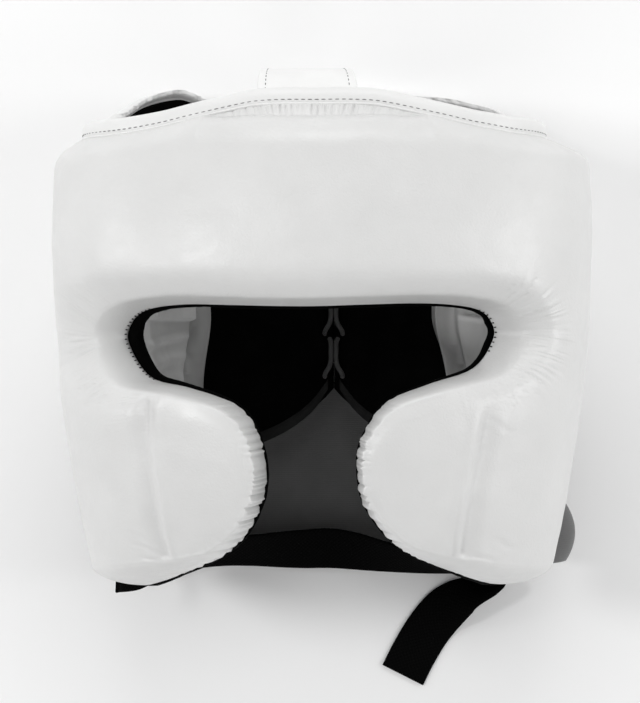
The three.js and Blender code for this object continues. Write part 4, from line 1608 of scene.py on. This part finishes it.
@dataclass(frozen=True)
class PocketSide:
    """What differs between the two ear pockets."""

    width: float  # of the roll
    from_lace: float  # distance of the rear edge from the lace high up
    lower: float  # how much more that is low down
    folds: tuple  # height, fullness and width of the soft folds across the panel
    lap: float  # how far the upper part of the panel lies over the lower one
    # the next two set painted shade: on the roll, and low on the panel
    roll_painted_shade: float  # how dark the leather is on the roll
    panel_painted_shade: float  # and low on the panel


@dataclass
class EarPockets:
    """The soft leather panels inside, by the ears, each with a thick rolled rear edge."""

    form: GuardForm
    wall: float = 2.2
    roll: float = 12.5
    panel: float = 5.0
    middle_y: float = 14.0
    half_height: float = 56.0
    end_height: float = 0.62  # height at both ends as a share of the middle's
    from_angle: float = math.radians(98)
    outside: float = -6.0
    columns: int = 130
    rows: int = 150
    crowding: float = 1.35
    upper: float = 10.0  # how much further the rear edge is from the lace at the top
    bumps: tuple[float, float, float] = (0.5, 11.0, 4.0)  # depth, size and seed
    lap_between: tuple[float, float] = (15.2, 16.6)
    left: PocketSide = PocketSide(
        11.0, 75.0, 15.0,
        ((8.3, 2.0, 1.8), (-1.8, 1.8, 2.8), (-14.0, 1.5, 4.0), (28.0, 1.2, 3.0), (41.0, 1.4, 4.0)),
        4.5, 0.9, 0.2,
    )
    right: PocketSide = PocketSide(
        14.0, 55.0, 18.0,
        ((19.8, -2.6, 1.9), (3.0, 1.0, 6.0), (-16.0, 1.2, 4.0), (34.0, 1.3, 4.0)),
        0.0, 0.55, 0.8,
    )

    def build(self, finishes: Finishes) -> None:
        """Make both pockets."""
        for side in Side:
            self.pocket(side, finishes)

    def pocket(self, side: Side, finishes: Finishes) -> bpy.types.Object:
        """Make one pocket with soft folds across its panel and a groove before its roll, with shade painted
        on the roll, the groove and the low panel.
        """
        form, own = self.form, side.of(self.left, self.right)
        start = float(form.length_at(np.array(self.from_angle)))
        steps = 1 - (1 - np.linspace(0, 1, self.columns + 1)) ** self.crowding
        part, row = np.meshgrid(steps, np.linspace(0, 1, self.rows + 1), indexing="ij")
        bow = np.sqrt(1 - (2 * part - 1) ** 2)
        tall = self.half_height * (self.end_height + (1 - self.end_height) * bow)
        y = self.middle_y + tall * (2 * row - 1)
        end = form.back_length - own.from_lace - own.lower * smooth_step(20 - y, 0, 44)
        end = end - self.upper * smooth_step(y, 30, 70)
        length = start + (end - start) * part
        from_end = end - length
        slope = shouldered(from_end / (0.7 * own.width), 0.2)
        crest = np.minimum(slope, quarter_round((own.width - from_end) / (0.3 * own.width)))
        thick = self.wall + self.roll * np.maximum(crest, 0)
        flat = smooth_step(from_end, own.width + 0.6, own.width + 11)
        thick += flat * self.panel_relief(side, length, y, from_end) * smooth_step(part, 0, 0.08)
        thick *= 0.2 + 0.8 * quarter_round(2 * tall * np.minimum(row, 1 - row) / self.roll)
        angle = side.value * form.angle_at(length)
        outer, inner = form.wall(angle, y, self.outside), form.wall(angle, y, self.outside - thick)
        pocket = make_piece(f"ear_pocket_{side.word}_leather", *closed_shell(outer, inner))
        # The "roll" attribute carries painted shade into the leather's colour.
        layer = pocket.data.attributes.new("roll", "FLOAT", "POINT")
        layer.data.foreach_set("value", np.tile(self.painted_shade(own, y, from_end).ravel(), 2))
        dress(pocket, finishes.inner_leather, "inner_leather", f"ear_pocket_{side.word}")
        return pocket

    def panel_relief(self, side: Side, length: Array, y: Array, from_end: Array) -> Array:
        """Fullness of one panel with its folds and lap."""
        own = side.of(self.left, self.right)
        depth, size, seed = self.bumps
        panel = self.panel + depth * unevenness(np.stack([length, y, 0 * y], -1), size, seed + side.value)
        for place, full, broad in own.folds:
            drawn = full * smooth_step(from_end, own.width + 3, own.width + 18)
            panel = panel + drawn * bell(y - place + 0.06 * (from_end - own.width), broad)
        return panel + own.lap * smooth_step(y, *self.lap_between)

    def painted_shade(self, own: PocketSide, y: Array, from_end: Array) -> Array:
        """Painted shade on the leather, from 0 on the plain panel to 1: darkest on the roll, fading over the
        groove before it, and darker low on the panel.
        """
        roll = 1 - 0.65 * smooth_step(from_end, own.width - 3, own.width + 1)
        roll -= 0.35 * smooth_step(from_end, own.width, own.width + 16)
        return np.clip(own.roll_painted_shade * roll + own.panel_painted_shade * smooth_step(22 - y, 0, 30), 0, 1)


@dataclass
class BackLace:
    """The lace that draws the two halves of the back together, dark grey from painted shade on a white cord.
    """

    form: GuardForm
    radius: float = 1.25
    pitch: float = 22.4
    first: float = -12.3
    rungs: int = 6
    close: float = 1.35
    splay: float = 4.6
    over_wall: float = 3.6  # height over the wall that a strand's rise is counted from
    steps: int = 60
    around: int = 10
    # share of the pitch above a row, share from close together to splayed, rise over the lining
    strand_keys: tuple = (
        (0.86, 0.25, 0.3), (0.74, 0.0, 2.0), (0.55, 0.0, 2.5), (0.36, 0.0, 2.5), (0.2, 0.25, 2.5),
        (0.08, 0.75, 2.0), (0.0, 1.0, 1.0), (-0.04, 1.0, -0.6),
    )

    def build(self, finishes: Finishes) -> bpy.types.Object:
        """Make both strands, which run close together and splay to the eyelets at each row."""
        floor = self.form.BACK_FLAT_Z + self.over_wall
        around = np.linspace(0, 2 * np.pi * self.radius, self.around)
        all_points, all_faces, all_uv, count = [], [], [], 0
        for rung in range(self.rungs):
            for side in Side:
                keys = self.strand(side, self.first + rung * self.pitch, floor)
                at = np.linspace(0, len(keys) - 1, self.steps)
                path = TableCurve(np.column_stack([np.arange(len(keys)), keys]))(at)
                points, faces = swept(tube(path, self.radius, self.around))
                all_points.append(points)
                all_faces += [[v + count for v in face] for face in faces]
                all_uv.append(texture_places(lengths_along(path), around))
                count += len(points)
        lace = make_piece("back_lace_braid", np.concatenate(all_points), all_faces, np.concatenate(all_uv))
        return dress(lace, finishes.lace, "dark_lace", "back_lace")

    def strand(self, side: Side, low: float, floor: float) -> Array:
        """Points of one strand from under the row above down to its eyelet."""
        above, spread, rise = np.array(self.strand_keys).T
        x = side.value * (self.close + (self.splay - self.close) * spread)
        return np.stack([x, low + above * self.pitch, floor + self.radius * rise], 1)


@dataclass
class NapePanel:
    """The grey ribbed elastic under the two halves of the back, which bulges out at the sides."""

    form: GuardForm
    thickness: float = 2.2
    bulge: float = 38.0
    bulge_from: float = 117.0
    bulge_peak: float = 137.0
    bulge_to: float = 172.0
    columns: int = 220
    rows: int = 60
    # distance along the wall from the middle of the back, and the lower edge there
    low_edge: tuple = ((0, -100), (30, -101), (45, -103), (78, -105), (150, -107))
    floor_gap: float = 0.15
    seam: float = 0.6
    flat_height: float = 92.0

    def build(self, finishes: Finishes, halves: BackHalves) -> bpy.types.Object:
        """Make the panel.

        Args:
            finishes: The guard's finishes.
            halves: The halves of the back, whose lower edges it meets.

        Returns:
            The panel.
        """
        form = self.form
        end = form.rear_length + self.seam
        half = np.linspace(end, form.back_length, self.columns // 2 + 1)
        length = np.concatenate([half, half[-2::-1]])
        side = np.concatenate([np.ones(len(half)), -np.ones(len(half) - 1)])
        from_lace = form.back_length - length
        top = TableCurve(halves.edges)(from_lace)[:, 0] - self.seam
        low = TableCurve(self.low_edge)(from_lace)[:, 0]
        row = np.linspace(0, 1, self.rows + 1)
        y = low[:, None] + (top - low)[:, None] * row[None, :]
        angle = form.angle_at(np.minimum(length, form.back_length - 0.01))
        degrees = np.degrees(angle)
        rise = smooth_step(degrees, self.bulge_from, self.bulge_peak)
        rise = rise * (1 - smooth_step(degrees, self.bulge_peak, self.bulge_to))
        fullness = np.maximum(np.sin(np.pi * (0.34 + 0.66 * row)), 0) ** 0.8
        middle = form.BACK_FLAT_Z - self.thickness / 2 + self.bulge * rise[:, None] * fullness[None, :]
        turned = np.broadcast_to((side * angle)[:, None], y.shape)
        outer = form.wall(turned, y, middle + self.thickness / 2)
        inner = form.wall(turned, y, middle - self.thickness / 2)
        outer[..., 2] = np.maximum(outer[..., 2], self.floor_gap)
        inner[..., 2] = np.maximum(inner[..., 2], self.floor_gap + self.thickness)
        points, faces = closed_shell(outer, inner)
        across = lengths_along(outer[:, self.rows // 2])
        uv = texture_places(across, y)
        panel = make_piece("nape_panel_elastic", points, faces, np.concatenate([uv, uv]))
        dress(panel, finishes.elastic, "grey_elastic", "nape_panel")
        return panel


# Studio


@dataclass
class Studio:
    """The pale floor, the soft lights and the camera over the guard."""

    frame_height: float = 703.0
    focal_pixels: float = 2700.0
    sensor: float = 36.0
    yaw: float = math.radians(2.85)
    distance: float = 1200.0
    aim: tuple[float, float, float] = (3.6, MIDDLE_SHIFT, 230.0)
    # name, place, aim, size, power
    lights: tuple = (
        ("left_softbox", (-1.8, 0.25, 1.0), (0.0, 0.0, 0.1), 0.6, 7.0),
        ("right_softbox", (1.8, 0.1, 1.2), (0.0, 0.0, 0.1), 1.2, 12.0),
        ("back_softbox", (0.0, 1.7, 1.2), (0.0, 0.0, 0.1), 1.4, 11.5),
        ("front_softbox", (0.0, -1.6, 1.2), (0.0, 0.0, 0.1), 1.4, 4.0),
        ("low_right_softbox", (1.8, 0.3, 0.6), (0.0, 0.0, 0.1), 0.8, 2.5),
        ("left_spot", (-0.95, 0.25, 1.7), (0.0, 0.0, 0.15), 0.36, 7.5),
    )
    sky: float = 0.89
    sky_overhead: float = 0.35
    floor_size: float = 6.0

    def build(self) -> None:
        """Make the floor, the lights, the sky and the camera."""
        self.add_floor()
        for light in self.lights:
            self.add_light(*light)
        self.add_sky()
        self.add_camera()
        bpy.context.scene.view_settings.view_transform = "Standard"

    def add_floor(self) -> None:
        """Lay a flat sheet of pale paper under the guard."""
        bpy.ops.object.select_all(action="DESELECT")
        bpy.ops.mesh.primitive_grid_add(x_subdivisions=8, y_subdivisions=8, size=self.floor_size)
        floor = bpy.context.object
        floor.name = "studio_floor"
        floor.data.materials.append(StudioPaper("studio_paper").build())

    def add_light(self, name: str, place: tuple, aim: tuple, size: float, power: float) -> None:
        """Add one softbox that faces a point."""
        data = bpy.data.lights.new(name, "AREA")
        data.shape = "DISK"
        data.size = size
        data.energy = power
        lamp = bpy.data.objects.new(name, data)
        lamp.location = place
        lamp.rotation_euler = (Vector(aim) - Vector(place)).to_track_quat("-Z", "Y").to_euler()
        bpy.context.scene.collection.objects.link(lamp)

    def add_sky(self) -> None:
        """Fill the room with light that comes more from the walls than from overhead."""
        world = bpy.data.worlds.new("studio_air")
        world.use_nodes = True
        nodes, links = world.node_tree.nodes, world.node_tree.links
        way = nodes.new("ShaderNodeSeparateXYZ")
        links.new(nodes.new("ShaderNodeTexCoord").outputs["Generated"], way.inputs[0])
        fade = nodes.new("ShaderNodeMapRange")
        fade.inputs["To Min"].default_value = self.sky
        fade.inputs["To Max"].default_value = self.sky * self.sky_overhead
        links.new(way.outputs["Z"], fade.inputs["Value"])
        links.new(fade.outputs["Result"], nodes["Background"].inputs["Strength"])
        nodes["Background"].inputs["Color"].default_value = (1, 1, 1, 1)
        bpy.context.scene.world = world

    def add_camera(self) -> None:
        """Set the camera straight over the guard, a little to the right."""
        data = bpy.data.cameras.new("photo_camera")
        data.sensor_fit = "VERTICAL"
        data.sensor_height = self.sensor
        data.lens = self.focal_pixels / self.frame_height * self.sensor
        camera = bpy.data.objects.new("photo_camera", data)
        back = Vector((math.sin(self.yaw), 0.0, math.cos(self.yaw)))
        camera.location = (Vector(self.aim) + self.distance * back) * MM
        camera.rotation_euler = (0.0, self.yaw, 0.0)
        bpy.context.scene.collection.objects.link(camera)
        bpy.context.scene.camera = camera


def main() -> None:
    """Load the frame and build the guard and the studio round it."""
    logging.basicConfig(level=logging.INFO)
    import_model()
    form = GuardForm()
    finishes = Finishes()
    FacePad(form, OpeningEdge(form)).build(finishes)
    FaceLining(form).build(finishes)
    BrowBinding(form).build(finishes)
    CrownStrap().build(finishes)
    halves = BackHalves(form)
    halves.build(finishes)
    EarPockets(form).build(finishes)
    BackLace(form).build(finishes)
    NapePanel(form).build(finishes, halves)
    ChinStrap().build(finishes)
    Studio().build()


if __name__ == "__main__":
    main()
